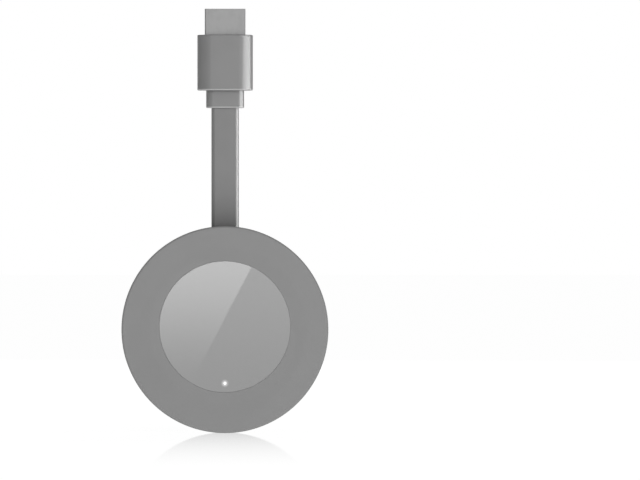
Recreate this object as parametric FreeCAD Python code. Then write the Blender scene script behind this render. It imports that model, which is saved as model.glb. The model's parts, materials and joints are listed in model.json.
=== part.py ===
import FreeCAD, Part
import math
import os

# Streaming media stick: an HDMI plug, a short flat lead and a round puck, hanging as from a television.
# Millimetres, +Z up, +X right, +Y away from the viewer. The origin is the middle of the plug's shoulder,
# where the metal shell comes out of the overmould. The puck's face looks along -Y.

V = FreeCAD.Vector
UP = V(0, 0, 1)
BACK = V(0, 1, 0)
MITRE = 1
LEVEL_TOLERANCE = 1e-4
DIRECTION_TOLERANCE = 1e-6

# HDMI plug: metal shell
shell_width = 13.9
shell_depth = 4.45
shell_wall = 0.3
shell_reach = 8.9
shell_hidden = 7.0
shell_side = 2.5
shell_back_width = 10.4
shell_corner = 0.5
shell_least_corner = 0.17
shell_mouth_chamfer = 0.12
latch_width = 1.8
latch_length = 2.4
latch_spacing = 5.6
latch_from_mouth = 3.0

# HDMI plug: insulator, contacts and board
insulator_setback = 0.7
insulator_foot = 4.0
insulator_gap = 0.02
slot_width = 10.8
slot_depth = 1.6
slot_length = 6.4
slot_chamfer = 0.25
front_contacts = 10
rear_contacts = 9
contact_pitch = 1.0
contact_width = 0.3
contact_thickness = 0.2
contact_gap = 0.02
contact_bend_start = 0.2
contact_bend = 1.0
contact_tail = 2.8
plug_board_width = 10.8
plug_board_thickness = 0.8
plug_board_length = 8.6
plug_board_drop = 0.6

# HDMI plug: mouldings
over_width = 19.0
over_depth = 10.0
over_length = 19.0
over_wall = 1.6
over_end = 1.2
over_rim_bevel = 0.3
relief_width = 13.0
relief_depth = 4.8
relief_length = 6.0
relief_rim_bevel = 0.25
relief_neck_inset = 0.5
relief_neck_side_inset = 1.0
mould_bevel = 2.0
mould_gap = 0.02
board_room = 0.3

# Flat lead
lead_width = 9.4
lead_thickness = 2.8
lead_free_length = 40.4
lead_in_mould = 1.8
core_count = 4
core_diameter = 1.3
core_pitch = 1.9
core_gap = 0.02
core_bare_gap = 0.6
core_stub = 0.4
core_bend_length = 3.0
wire_width = 0.4
wire_in_board = 1.8
wire_gap = 0.03

# Puck: covers
puck_diameter = 70.6
cover_wall = 1.6
cover_plate = 1.6
front_room = 4.9
rear_room = 4.9
front_edge_radius = 0.8
rear_edge_radius = 2.6
parting_above_lead = 1.1
seam_bevel = 0.2
front_rim_steps = 2
rear_rim_steps = 3
lip_thickness = 1.0
lip_reach = 2.0
lip_gap = 0.1
hook_angles = (20, 160, 205, 335)
hook_width = 5.0
hook_reach = 2.4
hook_catch = 0.5
hook_catch_height = 1.0
hook_pocket_gap = 0.15

# Puck: disc and status light
disc_diameter = 44.8
disc_thickness = 1.2
disc_edge_bevel = 0.15
disc_sunk = 0.1
disc_gap = 0.12
disc_lift = 1.0
adhesive_thickness = 0.15
adhesive_margin = 0.6
recess_floor = 1.1
recess_wall = 1.6
led_margin = 3.1
pipe_tip_diameter = 1.4
pipe_body_diameter = 2.6
pipe_gap = 0.03
pipe_to_led = 0.2
led_width = 1.6
led_length = 0.8
led_height = 0.7

# Puck: main board and its screws
board_thickness = 1.0
board_gap = 3.3
board_notch_gap = 0.5
screw_inset = 3.9
screw_angles = (45, 135, 225)
screw_diameter = 1.6
screw_length = 4.0
screw_head_diameter = 3.2
screw_head_height = 0.9
screw_recess_depth = 0.5
screw_recess_width = 0.5
screw_recess_arm = 1.05
screw_gap = 0.05
screw_hole_gap = 0.15
boss_diameter = 4.4
boss_pilot_spare = 0.6

# Puck: parts on the board's rear side
chip_chamfer = 0.15
shield_width = 40.0
shield_length = 18.0
shield_height = 1.6
shield_wall = 0.25
shield_rim = 1.0
shield_centre = 4.0
shield_lid_thickness = 0.2
shield_lid_skirt = 1.1
shield_lid_gap = 0.04
processor_size = 14.0
processor_height = 1.1
memory_width = 7.6
memory_length = 12.0
memory_height = 0.9
memory_gap = 2.2
flash_width = 11.5
flash_length = 13.0
flash_height = 0.9
flash_offset = 6.4
flash_below_shield = 1.6
power_size = 5.0
power_height = 0.8
power_offset = 6.0
power_below_shield = 2.2
inductor_size = 2.4
inductor_height = 1.2
inductor_count = 3
inductor_pitch = 3.2
inductor_gap = 1.2
capacitor_width = 1.0
capacitor_length = 0.5
capacitor_height = 0.5
capacitor_count = 6
capacitor_pitch = 2.0
capacitor_gap = 1.4
crystal_width = 3.2
crystal_length = 2.5
crystal_height = 0.7
crystal_offset = 14.0
pad_inset = 1.0

# Puck: heat spreader and its stakes
spreader_margin = 2.2
spreader_length_margin = 3.4
spreader_thickness = 1.0
spreader_corner_bevel = 2.0
spreader_stand = 1.0
stake_inset = 2.6
stake_diameter = 1.6
stake_pad_size = 3.4
stake_head_diameter = 2.6
stake_head_height = 0.4
stake_gap = 0.06

# Puck: parts on the board's front side
radio_size = 12.0
radio_height = 1.7
radio_offset_x = 13.0
radio_offset_z = 8.0
antenna_inset = 2.5
antenna_length = 15.0
antenna_height = 3.1
antenna_arm = 1.2
antenna_leg = 1.4
antenna_leg_spacing = 4.5
antenna_thickness = 0.3

# Puck: where the lead comes in
grommet_width = 12.4
grommet_length = 3.0
grommet_gap = 0.05
jacket_tail = 1.6
slot_gap = 0.15
lip_end_gap = 0.15
tongue_gap = 0.1
cradle_rib = 1.1
cradle_pad_offset = 3.0
cradle_height = 5.0
socket_width = 11.6
socket_length = 3.8
socket_height = 1.1
socket_wall = 0.4
socket_drop = 1.1
lead_plug_gap = 0.05
lead_plug_height = 1.5

# Puck: power socket
usb_width = 8.94
usb_depth = 3.26
usb_length = 7.35
usb_wall = 0.3
usb_sunk = 0.8
usb_port_gap = 0.25
usb_wing = 1.4
usb_wing_length = 2.0
usb_tongue_width = 6.7
usb_tongue_thickness = 0.7
usb_tongue_setback = 0.6
usb_block_length = 2.2
usb_contact_count = 12
usb_contact_pitch = 0.5
usb_contact_width = 0.25
usb_contact_thickness = 0.08
usb_contact_length = 3.4
usb_notch_gap = 0.3

# Puck: reset key and its switch
reset_angle = 24.0
key_diameter = 3.0
key_edge_bevel = 0.2
key_sunk = 0.2
key_gap = 0.1
key_flange_diameter = 4.4
key_flange_thickness = 0.8
key_flange_gap = 0.05
key_lip_gap = 1.6
key_travel = 0.5
switch_width = 4.4
switch_length = 3.0
switch_height = 1.9
switch_edge_gap = 0.3
plunger_diameter = 1.2
plunger_gap = 0.04
plunger_in_switch = 1.4
plunger_end_gap = 0.2

# Plug: levels that follow
insulator_top = shell_reach - insulator_setback
plug_board_top = -insulator_foot - plug_board_drop
plug_board_bottom = plug_board_top - plug_board_length
mould_top = -over_end
mould_bottom = over_end - over_length
relief_bottom = -over_length - relief_length
core_top = plug_board_bottom - core_bare_gap
jacket_top = mould_bottom + lead_in_mould

# Puck: levels and radii that follow
puck_radius = puck_diameter / 2
rim_top = relief_bottom - lead_free_length
puck_z = rim_top - puck_radius
board_front = -board_thickness / 2
board_rear = board_thickness / 2
front_inside = board_front - front_room
rear_inside = board_rear + rear_room
puck_front = front_inside - cover_plate
puck_rear = rear_inside + cover_plate
parting = lead_thickness / 2 + parting_above_lead
inner_radius = puck_radius - cover_wall
wall_middle = puck_radius - cover_wall / 2
lip_outer = inner_radius - lip_gap
lip_inner = lip_outer - lip_thickness
lip_end = parting - lip_reach
grommet_half = parting - grommet_gap
board_radius = inner_radius - board_gap
screw_circle = board_radius - screw_inset
disc_z = puck_z + disc_lift
disc_face = puck_front + disc_sunk
recess_radius = disc_diameter / 2 + disc_gap
recess_bottom = disc_face + disc_thickness + adhesive_thickness
recess_back = recess_bottom + recess_floor
led_drop = disc_diameter / 2 - led_margin
led_z = disc_z - led_drop
led_face = board_front - led_height
shield_z = puck_z + shield_centre
shield_top = board_rear + shield_height
lid_top = shield_top + shield_lid_thickness
spreader_rear = rear_inside - spreader_stand
spreader_front = spreader_rear - spreader_thickness
grommet_top = puck_z + inner_radius - grommet_gap
grommet_bottom = grommet_top - grommet_length
jacket_bottom = grommet_bottom - jacket_tail
bend_top = jacket_bottom - core_stub
bend_bottom = bend_top - core_bend_length
notch_bottom = bend_bottom - board_notch_gap
socket_top = notch_bottom - socket_drop
socket_bottom = socket_top - socket_length
cradle_half = grommet_width / 2 + grommet_gap + cradle_rib
lead_plug_rear = board_front - socket_wall
core_level = lead_plug_rear - lead_plug_height / 2
usb_mouth = puck_z - puck_radius + usb_sunk
usb_end = usb_mouth + usb_length
switch_y = board_front - switch_height / 2
switch_face = board_radius - switch_edge_gap
flange_seat = math.sqrt(inner_radius ** 2 - (key_flange_diameter / 2) ** 2) - key_flange_gap
plunger_tip = flange_seat - key_flange_thickness


# Basic shapes

def block(x_span, y_span, z_span):
    size = [span[1] - span[0] for span in (x_span, y_span, z_span)]
    return Part.makeBox(size[0], size[1], size[2], V(x_span[0], y_span[0], z_span[0]))


def centred(width, y_span, z_span, x=0.0):
    return block((x - width / 2, x + width / 2), y_span, z_span)


def post(diameter, y_span, x, z):
    return Part.makeCylinder(diameter / 2, y_span[1] - y_span[0], V(x, y_span[0], z), BACK)


def rod(diameter, z_span, x=0.0, y=0.0):
    return Part.makeCylinder(diameter / 2, z_span[1] - z_span[0], V(x, y, z_span[0]), UP)


def outline_prism(outline, z_span):
    face = Part.Face(outline)
    face.translate(V(0, 0, z_span[0]))
    return face.extrude(V(0, 0, z_span[1] - z_span[0]))


def stadium(width, depth, z_span, grow=0.0):
    """A prism with round sides, standing along Z, grown all round by a clearance."""
    radius = depth / 2 + grow
    flat = width / 2 - depth / 2
    right = Part.Arc(V(flat, -radius, 0), V(flat + radius, 0, 0), V(flat, radius, 0))
    left = Part.Arc(V(-flat, radius, 0), V(-flat - radius, 0, 0), V(-flat, -radius, 0))
    back = Part.LineSegment(V(flat, radius, 0), V(-flat, radius, 0))
    front = Part.LineSegment(V(-flat, -radius, 0), V(flat, -radius, 0))
    outline = Part.Wire([edge.toShape() for edge in (right, back, left, front)])
    return outline_prism(outline, z_span)


def jacket_space(z_span, grow):
    return stadium(lead_width, lead_thickness, z_span, grow)


def edges_at(shape, axis, level):
    """The edges of a shape that lie wholly at one level along an axis."""
    found = []
    for edge in shape.Edges:
        box = edge.BoundBox
        low, high = {"y": (box.YMin, box.YMax), "z": (box.ZMin, box.ZMax)}[axis]
        if max(abs(low - level), abs(high - level)) < LEVEL_TOLERANCE:
            found.append(edge)
    return found


def upright_edges(shape, axis):
    """The straight edges of a shape that run along one axis."""
    found = []
    for edge in shape.Edges:
        ends = [vertex.Point for vertex in edge.Vertexes]
        if len(ends) == 2:
            run = (ends[1] - ends[0]).normalize()
            if run.isEqual(axis, DIRECTION_TOLERANCE) or run.isEqual(-axis, DIRECTION_TOLERANCE):
                found.append(edge)
    return found


def revolved(points, sweep=360.0, start=0.0):
    """A ring or disc about the puck's axis, from the (radius, y) corners of its section."""
    corners = [V(radius, y, puck_z) for radius, y in points]
    face = Part.Face(Part.makePolygon(corners + corners[:1]))
    solid = face.revolve(V(0, 0, puck_z), BACK, sweep)
    solid.rotate(V(0, 0, puck_z), BACK, start)
    return solid


def about_puck(shape, degrees):
    """Turn a shape that is drawn at the bottom of the rim, towards +X, about the puck's axis."""
    turned = shape.copy()
    turned.rotate(V(0, 0, puck_z), BACK, -degrees)
    return turned


def ring_position(radius, degrees):
    angle = math.radians(degrees)
    return radius * math.cos(angle), puck_z + radius * math.sin(angle)


def spaced(count, pitch):
    return [(index - (count - 1) / 2) * pitch for index in range(count)]


# HDMI plug

def shell_outline(inset):
    """The plug's section: full width in front, with its two rear corners cut off."""
    front = -shell_depth / 2
    rear = shell_depth / 2
    wide = shell_width / 2
    narrow = shell_back_width / 2
    shoulder = front + shell_side
    corners = [
        V(-wide, front, 0),
        V(wide, front, 0),
        V(wide, shoulder, 0),
        V(narrow, rear, 0),
        V(-narrow, rear, 0),
        V(-wide, shoulder, 0),
    ]
    outline = Part.makePolygon(corners + corners[:1])
    return outline.makeOffset2D(-inset, 2) if inset else outline


def shell_prism(inset, z_span):
    prism = outline_prism(shell_outline(inset), z_span)
    return prism.makeFillet(max(shell_corner - inset, shell_least_corner), upright_edges(prism, UP))


def make_plug_shell():
    outside = shell_prism(0, (-shell_hidden, shell_reach))
    outside = outside.makeChamfer(shell_mouth_chamfer, edges_at(outside, "z", shell_reach))
    shell = outside.cut(shell_prism(shell_wall, (-shell_hidden, shell_reach)))
    latch_top = shell_reach - latch_from_mouth
    for x in spaced(2, latch_spacing):
        latch = centred(latch_width, (0, shell_depth), (latch_top - latch_length, latch_top), x)
        shell = shell.cut(latch)
    return shell


def contact_rows():
    """Each contact's place across the plug and the side it lies on: -1 in front, 1 behind."""
    front = [(x, -1) for x in spaced(front_contacts, contact_pitch)]
    rear = [(x, 1) for x in spaced(rear_contacts, contact_pitch)]
    return front + rear


def make_plug_insulator():
    inset = shell_wall + insulator_gap
    body = shell_prism(inset, (-insulator_foot, insulator_top))
    slot_span = (insulator_top - slot_length, insulator_top)
    slot = centred(slot_width, (-slot_depth / 2, slot_depth / 2), slot_span)
    body = body.cut(slot)
    body = body.makeChamfer(slot_chamfer, slot_mouth_edges(body))
    inner = slot_depth / 2
    outer = inner + contact_thickness
    for x, side in contact_rows():
        y_span = sorted((side * (inner - slot_chamfer), side * outer))
        full = (-insulator_foot, insulator_top - slot_chamfer)
        body = body.cut(centred(contact_width + 2 * contact_gap, y_span, full, x))
    return body


def slot_mouth_edges(body):
    inside = []
    for edge in edges_at(body, "z", insulator_top):
        box = edge.BoundBox
        if max(abs(box.XMin), abs(box.XMax)) < slot_width / 2 + contact_gap:
            if max(abs(box.YMin), abs(box.YMax)) < slot_depth / 2 + contact_gap:
                inside.append(edge)
    return inside


def contact_profile(side):
    """One contact seen from the side: a straight beam in the slot, a step, and a tail on the board."""
    beam = slot_depth / 2
    tail = plug_board_thickness / 2
    top = insulator_top - slot_chamfer
    step_top = -insulator_foot - contact_bend_start
    step_bottom = step_top - contact_bend
    end = step_bottom - contact_tail
    points = [
        (tail, end),
        (tail + contact_thickness, end),
        (tail + contact_thickness, step_bottom),
        (beam + contact_thickness, step_top),
        (beam + contact_thickness, top),
        (beam, top),
        (beam, step_top),
        (tail, step_bottom),
    ]
    corners = [V(0, side * y, z) for y, z in points]
    return Part.Face(Part.makePolygon(corners + corners[:1]))


def make_plug_contacts():
    contacts = []
    for x, side in contact_rows():
        face = contact_profile(side)
        face.translate(V(x - contact_width / 2, 0, 0))
        contacts.append(face.extrude(V(contact_width, 0, 0)))
    return Part.makeCompound(contacts)


def make_plug_board():
    half = plug_board_thickness / 2
    board = centred(plug_board_width, (-half, half), (plug_board_bottom, plug_board_top))
    slot_top = plug_board_bottom + wire_in_board + wire_gap
    for x in spaced(core_count, core_pitch):
        width = wire_width + 2 * wire_gap
        board = board.cut(centred(width, (-half, half), (plug_board_bottom, slot_top), x))
    return board


def mould_block():
    """The hard core of the plug: a block with bevelled edges, inside the round-sided grip."""
    width = over_width - 2 * over_wall
    half = over_depth / 2 - over_wall
    body = centred(width, (-half, half), (mould_bottom, mould_top))
    return body.makeChamfer(mould_bevel, upright_edges(body, UP))


def make_plug_inner_mould():
    mould = mould_block()
    room_width = plug_board_width + 2 * board_room
    room_half = slot_depth / 2 + contact_thickness + board_room
    room = centred(room_width, (-room_half, room_half), (jacket_top, mould_top))
    mould = mould.cut(room)
    mould = mould.cut(shell_prism(0, (-shell_hidden, 0)))
    return mould.cut(jacket_space((mould_bottom, jacket_top), mould_gap))


def make_plug_overmould():
    body = stadium(over_width, over_depth, (-over_length, 0))
    rims = edges_at(body, "z", 0) + edges_at(body, "z", -over_length)
    body = body.makeChamfer(over_rim_bevel, rims)
    body = body.cut(mould_block())
    body = body.cut(shell_prism(0, (mould_top, 0)))
    return body.cut(relief_neck())


def relief_neck():
    half = relief_depth / 2 - relief_neck_inset
    width = relief_width - 2 * relief_neck_side_inset
    return centred(width, (-half, half), (-over_length, mould_bottom))


def make_plug_strain_relief():
    body = stadium(relief_width, relief_depth, (relief_bottom, -over_length))
    body = body.makeChamfer(relief_rim_bevel, edges_at(body, "z", relief_bottom))
    body = body.fuse(relief_neck())
    return body.cut(jacket_space((relief_bottom, mould_bottom), mould_gap)).removeSplitter()


# Flat lead

def make_lead_jacket():
    z_span = (jacket_bottom, jacket_top)
    core_row = (core_count - 1) * core_pitch + core_diameter
    chamber = stadium(core_row, core_diameter, z_span, core_gap)
    return jacket_space(z_span, 0).cut(chamber)


def core_path():
    """Straight down through the jacket, then a slanted step on to the front side of the main board."""
    corners = [
        V(0, 0, core_top),
        V(0, 0, bend_top),
        V(0, core_level, bend_bottom),
        V(0, core_level, socket_top),
    ]
    return Part.makePolygon(corners)


def make_lead_cores():
    section = Part.Wire(Part.makeCircle(core_diameter / 2, V(0, 0, core_top), UP))
    core = core_path().makePipeShell([section], True, False, MITRE)
    half = wire_width / 2
    wire_end = plug_board_bottom + wire_in_board
    core = core.fuse(centred(wire_width, (-half, half), (core_top, wire_end)))
    cores = []
    for x in spaced(core_count, core_pitch):
        placed = core.copy()
        placed.translate(V(x, 0, 0))
        cores.append(placed)
    return Part.makeCompound(cores)


# Puck: covers

def rim_round(edge_radius, steps, face, side):
    """The rounded corner between a flat face and the rim, as a few equal steps of a quarter circle."""
    points = []
    for step in range(steps + 1):
        angle = math.pi / 2 * step / steps
        radius = puck_radius - edge_radius * (1 - math.sin(angle))
        points.append((radius, face + side * edge_radius * (1 - math.cos(angle))))
    return points


def front_shell():
    inside = [(inner_radius, parting), (inner_radius, front_inside), (0, front_inside)]
    corner = rim_round(front_edge_radius, front_rim_steps, puck_front, 1)
    return revolved([(0, puck_front)] + corner + [(puck_radius, parting)] + inside)


def make_front_cover():
    cover = front_shell()
    back = post(2 * (recess_radius + recess_wall), (front_inside, recess_back), 0, disc_z)
    cradle = lead_cradle()
    bosses = [
        post(boss_diameter, (front_inside, board_front), *ring_position(screw_circle, angle))
        for angle in screw_angles
    ]
    cover = cover.fuse([back, cradle] + bosses)
    cover = cover.cut(post(2 * recess_radius, (puck_front, recess_bottom), 0, disc_z))
    cover = cover.cut(post(pipe_tip_diameter + 2 * pipe_gap, (puck_front, recess_back), 0, led_z))
    cover = cover.cut(boss_pilots() + hook_pockets() + [lead_slot(), key_hole()])
    cover = cover.cut(usb_port())
    return cover.removeSplitter()


def boss_pilots():
    depth = screw_length - board_thickness + boss_pilot_spare
    width = screw_diameter + 2 * screw_gap
    return [
        post(width, (board_front - depth, board_front), *ring_position(screw_circle, angle))
        for angle in screw_angles
    ]


def hook_profile():
    bottom = lip_end - hook_reach
    catch_top = bottom + hook_catch_height
    return [
        (lip_inner, lip_end),
        (lip_inner, bottom),
        (lip_outer, bottom),
        (lip_outer + hook_catch, catch_top),
        (lip_outer, catch_top),
        (lip_outer, lip_end),
    ]


def hook_sweep():
    return math.degrees(hook_width / lip_outer)


def make_hooks():
    sweep = hook_sweep()
    return [revolved(hook_profile(), sweep, -angle - sweep / 2) for angle in hook_angles]


def hook_pockets():
    bottom = lip_end - hook_reach - hook_pocket_gap
    top = bottom + hook_catch_height + 2 * hook_pocket_gap
    outer = lip_outer + hook_catch + hook_pocket_gap
    sweep = hook_sweep() + math.degrees(2 * hook_pocket_gap / lip_outer)
    profile = [(lip_inner, bottom), (outer, bottom), (outer, top), (lip_inner, top)]
    return [revolved(profile, sweep, -angle - sweep / 2) for angle in hook_angles]


def lead_slot():
    """The way for the lead through the rim, open towards the parting line so that the lead drops in."""
    z_span = (puck_z + inner_radius - cover_wall, rim_top)
    slot = jacket_space(z_span, slot_gap)
    opening = centred(lead_width + 2 * slot_gap, (0, parting), z_span)
    return slot.fuse(opening)


def lead_cradle():
    """Ribs in the front cover that hold the grommet: two sides, two pads, an end rib round the jacket."""
    z_span = (grommet_bottom - grommet_gap - cradle_rib, puck_z + inner_radius)
    end_span = (z_span[0], grommet_bottom - grommet_gap)
    top = front_inside + cradle_height
    sides = [
        centred(cradle_rib, (front_inside, top), z_span, side * (cradle_half - cradle_rib / 2))
        for side in (-1, 1)
    ]
    pad_top = -grommet_half - grommet_gap
    pads = [
        centred(cradle_rib, (front_inside, pad_top), z_span, side * cradle_pad_offset)
        for side in (-1, 1)
    ]
    end = centred(2 * cradle_half, (front_inside, 0), end_span)
    end = end.cut(jacket_space(end_span, grommet_gap))
    ribs = sides[0].fuse([sides[1], pads[0], pads[1], end])
    return ribs.common(post(2 * wall_middle, (front_inside, parting), 0, puck_z))


def key_hole():
    span = (puck_z - puck_radius, puck_z - lip_inner)
    return about_puck(rod(key_diameter + 2 * key_gap, span, 0, switch_y), reset_angle)


def usb_port():
    span = (puck_z - puck_radius, puck_z - lip_inner)
    return stadium(usb_width, usb_depth, span, usb_port_gap)


def rear_shell():
    corner = rim_round(rear_edge_radius, rear_rim_steps, puck_rear, -1)
    seam = [(puck_radius, parting + seam_bevel), (puck_radius - seam_bevel, parting)]
    lip = [(lip_outer, parting), (lip_outer, lip_end), (lip_inner, lip_end)]
    inside = [(lip_inner, rear_inside), (0, rear_inside)]
    return revolved([(0, puck_rear)] + corner + seam + lip + inside)


def lip_relief(width, z_span):
    return centred(width, (lip_end, parting), z_span)


def lead_tongue():
    """The piece of the rear cover's wall that fills the slot behind the lead."""
    width = lead_width + 2 * slot_gap - 2 * tongue_gap
    z_span = (puck_z + inner_radius - cover_wall, rim_top)
    tongue = centred(width, (0, parting), z_span)
    ring = post(puck_diameter, (0, parting), 0, puck_z)
    ring = ring.cut(post(2 * inner_radius, (0, parting), 0, puck_z))
    tongue = tongue.common(ring)
    return tongue.cut(jacket_space(z_span, slot_gap))


def lead_press_ribs():
    span = (grommet_bottom, grommet_top)
    return [
        centred(cradle_rib, (parting, rear_inside), span, side * cradle_pad_offset)
        for side in (-1, 1)
    ]


def stake_places():
    half_x = shield_width / 2 + spreader_margin - stake_inset
    half_z = shield_length / 2 + spreader_length_margin - stake_inset
    return [(side * half_x, shield_z + side * half_z) for side in (-1, 1)]


def make_stakes():
    head_front = spreader_front - stake_head_height
    stakes = []
    for x, z in stake_places():
        half = stake_pad_size / 2
        stakes.append(centred(stake_pad_size, (spreader_rear, rear_inside), (z - half, z + half), x))
        stakes.append(post(stake_diameter, (head_front, spreader_rear), x, z))
        stakes.append(post(stake_head_diameter, (head_front, spreader_front), x, z))
    return stakes


def make_rear_cover():
    cover = rear_shell()
    top_span = (puck_z, puck_z + inner_radius)
    bottom_span = (puck_z - inner_radius, puck_z)
    cover = cover.cut(lip_relief(2 * cradle_half + 2 * lip_end_gap, top_span))
    cover = cover.cut(lip_relief(usb_width + 2 * usb_wing + 2 * lip_end_gap, bottom_span))
    key_relief = lip_relief(key_flange_diameter + 2 * key_lip_gap, bottom_span)
    cover = cover.cut(about_puck(key_relief, reset_angle))
    cover = cover.fuse(make_hooks() + lead_press_ribs() + make_stakes()).removeSplitter()
    return cover.fuse(lead_tongue())


# Puck: disc and light

def make_face_disc():
    disc = post(disc_diameter, (disc_face, disc_face + disc_thickness), 0, disc_z)
    disc = disc.makeChamfer(disc_edge_bevel, edges_at(disc, "y", disc_face))
    return disc.cut(post(pipe_tip_diameter + 2 * pipe_gap, (disc_face, recess_bottom), 0, led_z))


def make_disc_adhesive():
    span = (disc_face + disc_thickness, recess_bottom)
    half = (led_drop - pipe_tip_diameter / 2 - adhesive_margin) / math.sqrt(2)
    return centred(2 * half, span, (disc_z - half, disc_z + half))


def make_light_pipe():
    tip = post(pipe_tip_diameter, (disc_face, recess_back), 0, led_z)
    body = post(pipe_body_diameter, (recess_back, led_face - pipe_to_led), 0, led_z)
    return tip.fuse(body).removeSplitter()


def make_status_led():
    half = led_length / 2
    return centred(led_width, (led_face, board_front), (led_z - half, led_z + half))


# Puck: main board

def make_main_board():
    board = post(2 * board_radius, (board_front, board_rear), 0, puck_z)
    notch_width = 2 * cradle_half + 2 * board_notch_gap
    lead_notch = centred(notch_width, (board_front, board_rear), (notch_bottom, rim_top))
    usb_span = (puck_z - puck_radius, usb_end + usb_notch_gap)
    usb_notch = centred(usb_width + 2 * usb_notch_gap, (board_front, board_rear), usb_span)
    hole = screw_diameter + 2 * screw_hole_gap
    holes = [
        post(hole, (board_front, board_rear), *ring_position(screw_circle, angle))
        for angle in screw_angles
    ]
    return board.cut([lead_notch, usb_notch] + holes)


def make_board_screws():
    head_rear = board_rear + screw_head_height
    half = screw_recess_width / 2
    arm = screw_recess_arm
    deep = (head_rear - screw_recess_depth, head_rear)
    screws = []
    for angle in screw_angles:
        x, z = ring_position(screw_circle, angle)
        shank = post(screw_diameter, (board_rear - screw_length, board_rear), x, z)
        head = post(screw_head_diameter, (board_rear, head_rear), x, z)
        cross = block((x - arm, x + arm), deep, (z - half, z + half))
        cross = cross.fuse(block((x - half, x + half), deep, (z - arm, z + arm)))
        screws.append(shank.fuse(head).cut(cross))
    return Part.makeCompound(screws)


def rear_chip(width, length, height, x, z):
    """A moulded chip on the board's rear side with a bevelled top."""
    body = centred(width, (board_rear, board_rear + height), (z - length / 2, z + length / 2), x)
    return body.makeChamfer(chip_chamfer, edges_at(body, "y", board_rear + height))


def below_shield(gap, length):
    return shield_z - shield_length / 2 - gap - length / 2


def make_processor_chip():
    return rear_chip(processor_size, processor_size, processor_height, 0, shield_z)


def make_memory_chips():
    offset = processor_size / 2 + memory_gap + memory_width / 2
    chips = [
        rear_chip(memory_width, memory_length, memory_height, side * offset, shield_z)
        for side in (-1, 1)
    ]
    return Part.makeCompound(chips)


def make_flash_chip():
    z = below_shield(flash_below_shield, flash_length)
    return rear_chip(flash_width, flash_length, flash_height, -flash_offset, z)


def make_power_chip():
    z = below_shield(power_below_shield, power_size)
    return rear_chip(power_size, power_size, power_height, power_offset, z)


def power_bottom():
    return below_shield(power_below_shield, power_size) - power_size / 2


def make_inductors():
    z = power_bottom() - inductor_gap - inductor_size / 2
    coils = [
        rear_chip(inductor_size, inductor_size, inductor_height, power_offset + x, z)
        for x in spaced(inductor_count, inductor_pitch)
    ]
    return Part.makeCompound(coils)


def make_capacitors():
    z = power_bottom() - inductor_gap - inductor_size - capacitor_gap
    half = capacitor_length / 2
    y_span = (board_rear, board_rear + capacitor_height)
    pieces = [
        centred(capacitor_width, y_span, (z - half, z + half), power_offset + x)
        for x in spaced(capacitor_count, capacitor_pitch)
    ]
    return Part.makeCompound(pieces)


def make_crystal():
    z = below_shield(power_below_shield, crystal_length)
    return rear_chip(crystal_width, crystal_length, crystal_height, crystal_offset, z)


def shield_block(grow, y_span):
    half = shield_length / 2 + grow
    return centred(shield_width + 2 * grow, y_span, (shield_z - half, shield_z + half))


def make_shield_frame():
    frame = shield_block(0, (board_rear, shield_top))
    frame = frame.cut(shield_block(-shield_wall, (board_rear, shield_top - shield_wall)))
    return frame.cut(shield_block(-shield_rim, (board_rear, shield_top)))


def make_shield_cover():
    outer = shield_lid_gap + shield_lid_thickness
    lid = shield_block(outer, (shield_top - shield_lid_skirt, lid_top))
    return lid.cut(shield_block(shield_lid_gap, (shield_top - shield_lid_skirt, shield_top)))


def thermal_pad(y_span):
    half = processor_size / 2 - pad_inset
    return centred(2 * half, y_span, (shield_z - half, shield_z + half))


def make_chip_pad():
    return thermal_pad((board_rear + processor_height, shield_top))


def make_spreader_pad():
    return thermal_pad((lid_top, spreader_front))


def make_heat_spreader():
    half = shield_length / 2 + spreader_length_margin
    width = shield_width + 2 * spreader_margin
    plate = centred(width, (spreader_front, spreader_rear), (shield_z - half, shield_z + half))
    plate = plate.makeChamfer(spreader_corner_bevel, upright_edges(plate, BACK))
    hole = stake_diameter + 2 * stake_gap
    return plate.cut([post(hole, (spreader_front, spreader_rear), x, z) for x, z in stake_places()])


# Puck: front side of the board

def make_wireless_module():
    half = radio_size / 2
    z = puck_z + radio_offset_z
    y_span = (board_front - radio_height, board_front)
    can = centred(radio_size, y_span, (z - half, z + half), radio_offset_x)
    return can.makeFillet(chip_chamfer, edges_at(can, "y", board_front - radio_height))


def make_antenna(side):
    """A stamped inverted F: a long arm on two legs that are soldered to the board."""
    half = antenna_length / 2
    near = board_front
    under_arm = board_front - antenna_height + antenna_arm
    far = board_front - antenna_height
    leg = antenna_leg
    gap = antenna_leg_spacing
    points = [
        (near, half),
        (far, half),
        (far, -half),
        (under_arm, -half),
        (under_arm, half - gap - 2 * leg),
        (near, half - gap - 2 * leg),
        (near, half - gap - leg),
        (under_arm, half - gap - leg),
        (under_arm, half - leg),
        (near, half - leg),
    ]
    corners = [V(0, y, puck_z + z) for y, z in points]
    face = Part.Face(Part.makePolygon(corners + corners[:1]))
    face.translate(V(side * (board_radius - antenna_inset), 0, 0))
    return face.extrude(V(-side * antenna_thickness, 0, 0))


def make_board_socket():
    tray = centred(socket_width, (board_front - socket_height, board_front), (socket_bottom, socket_top))
    inner = socket_width - 2 * socket_wall
    span = (board_front - socket_height, lead_plug_rear)
    return tray.cut(centred(inner, span, (socket_bottom + socket_wall, socket_top)))


def make_lead_plug():
    width = socket_width - 2 * socket_wall - 2 * lead_plug_gap
    y_span = (lead_plug_rear - lead_plug_height, lead_plug_rear)
    bottom = socket_bottom + socket_wall + lead_plug_gap
    body = centred(width, y_span, (bottom, socket_top))
    return body.makeChamfer(chip_chamfer, edges_at(body, "y", lead_plug_rear - lead_plug_height))


def make_lead_grommet():
    depth = (-grommet_half, grommet_half)
    collar = centred(grommet_width, depth, (grommet_bottom, grommet_top))
    collar = collar.common(post(2 * (inner_radius - grommet_gap), depth, 0, puck_z))
    return collar.cut(jacket_space((grommet_bottom, grommet_top), grommet_gap))


# Puck: power socket

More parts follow.
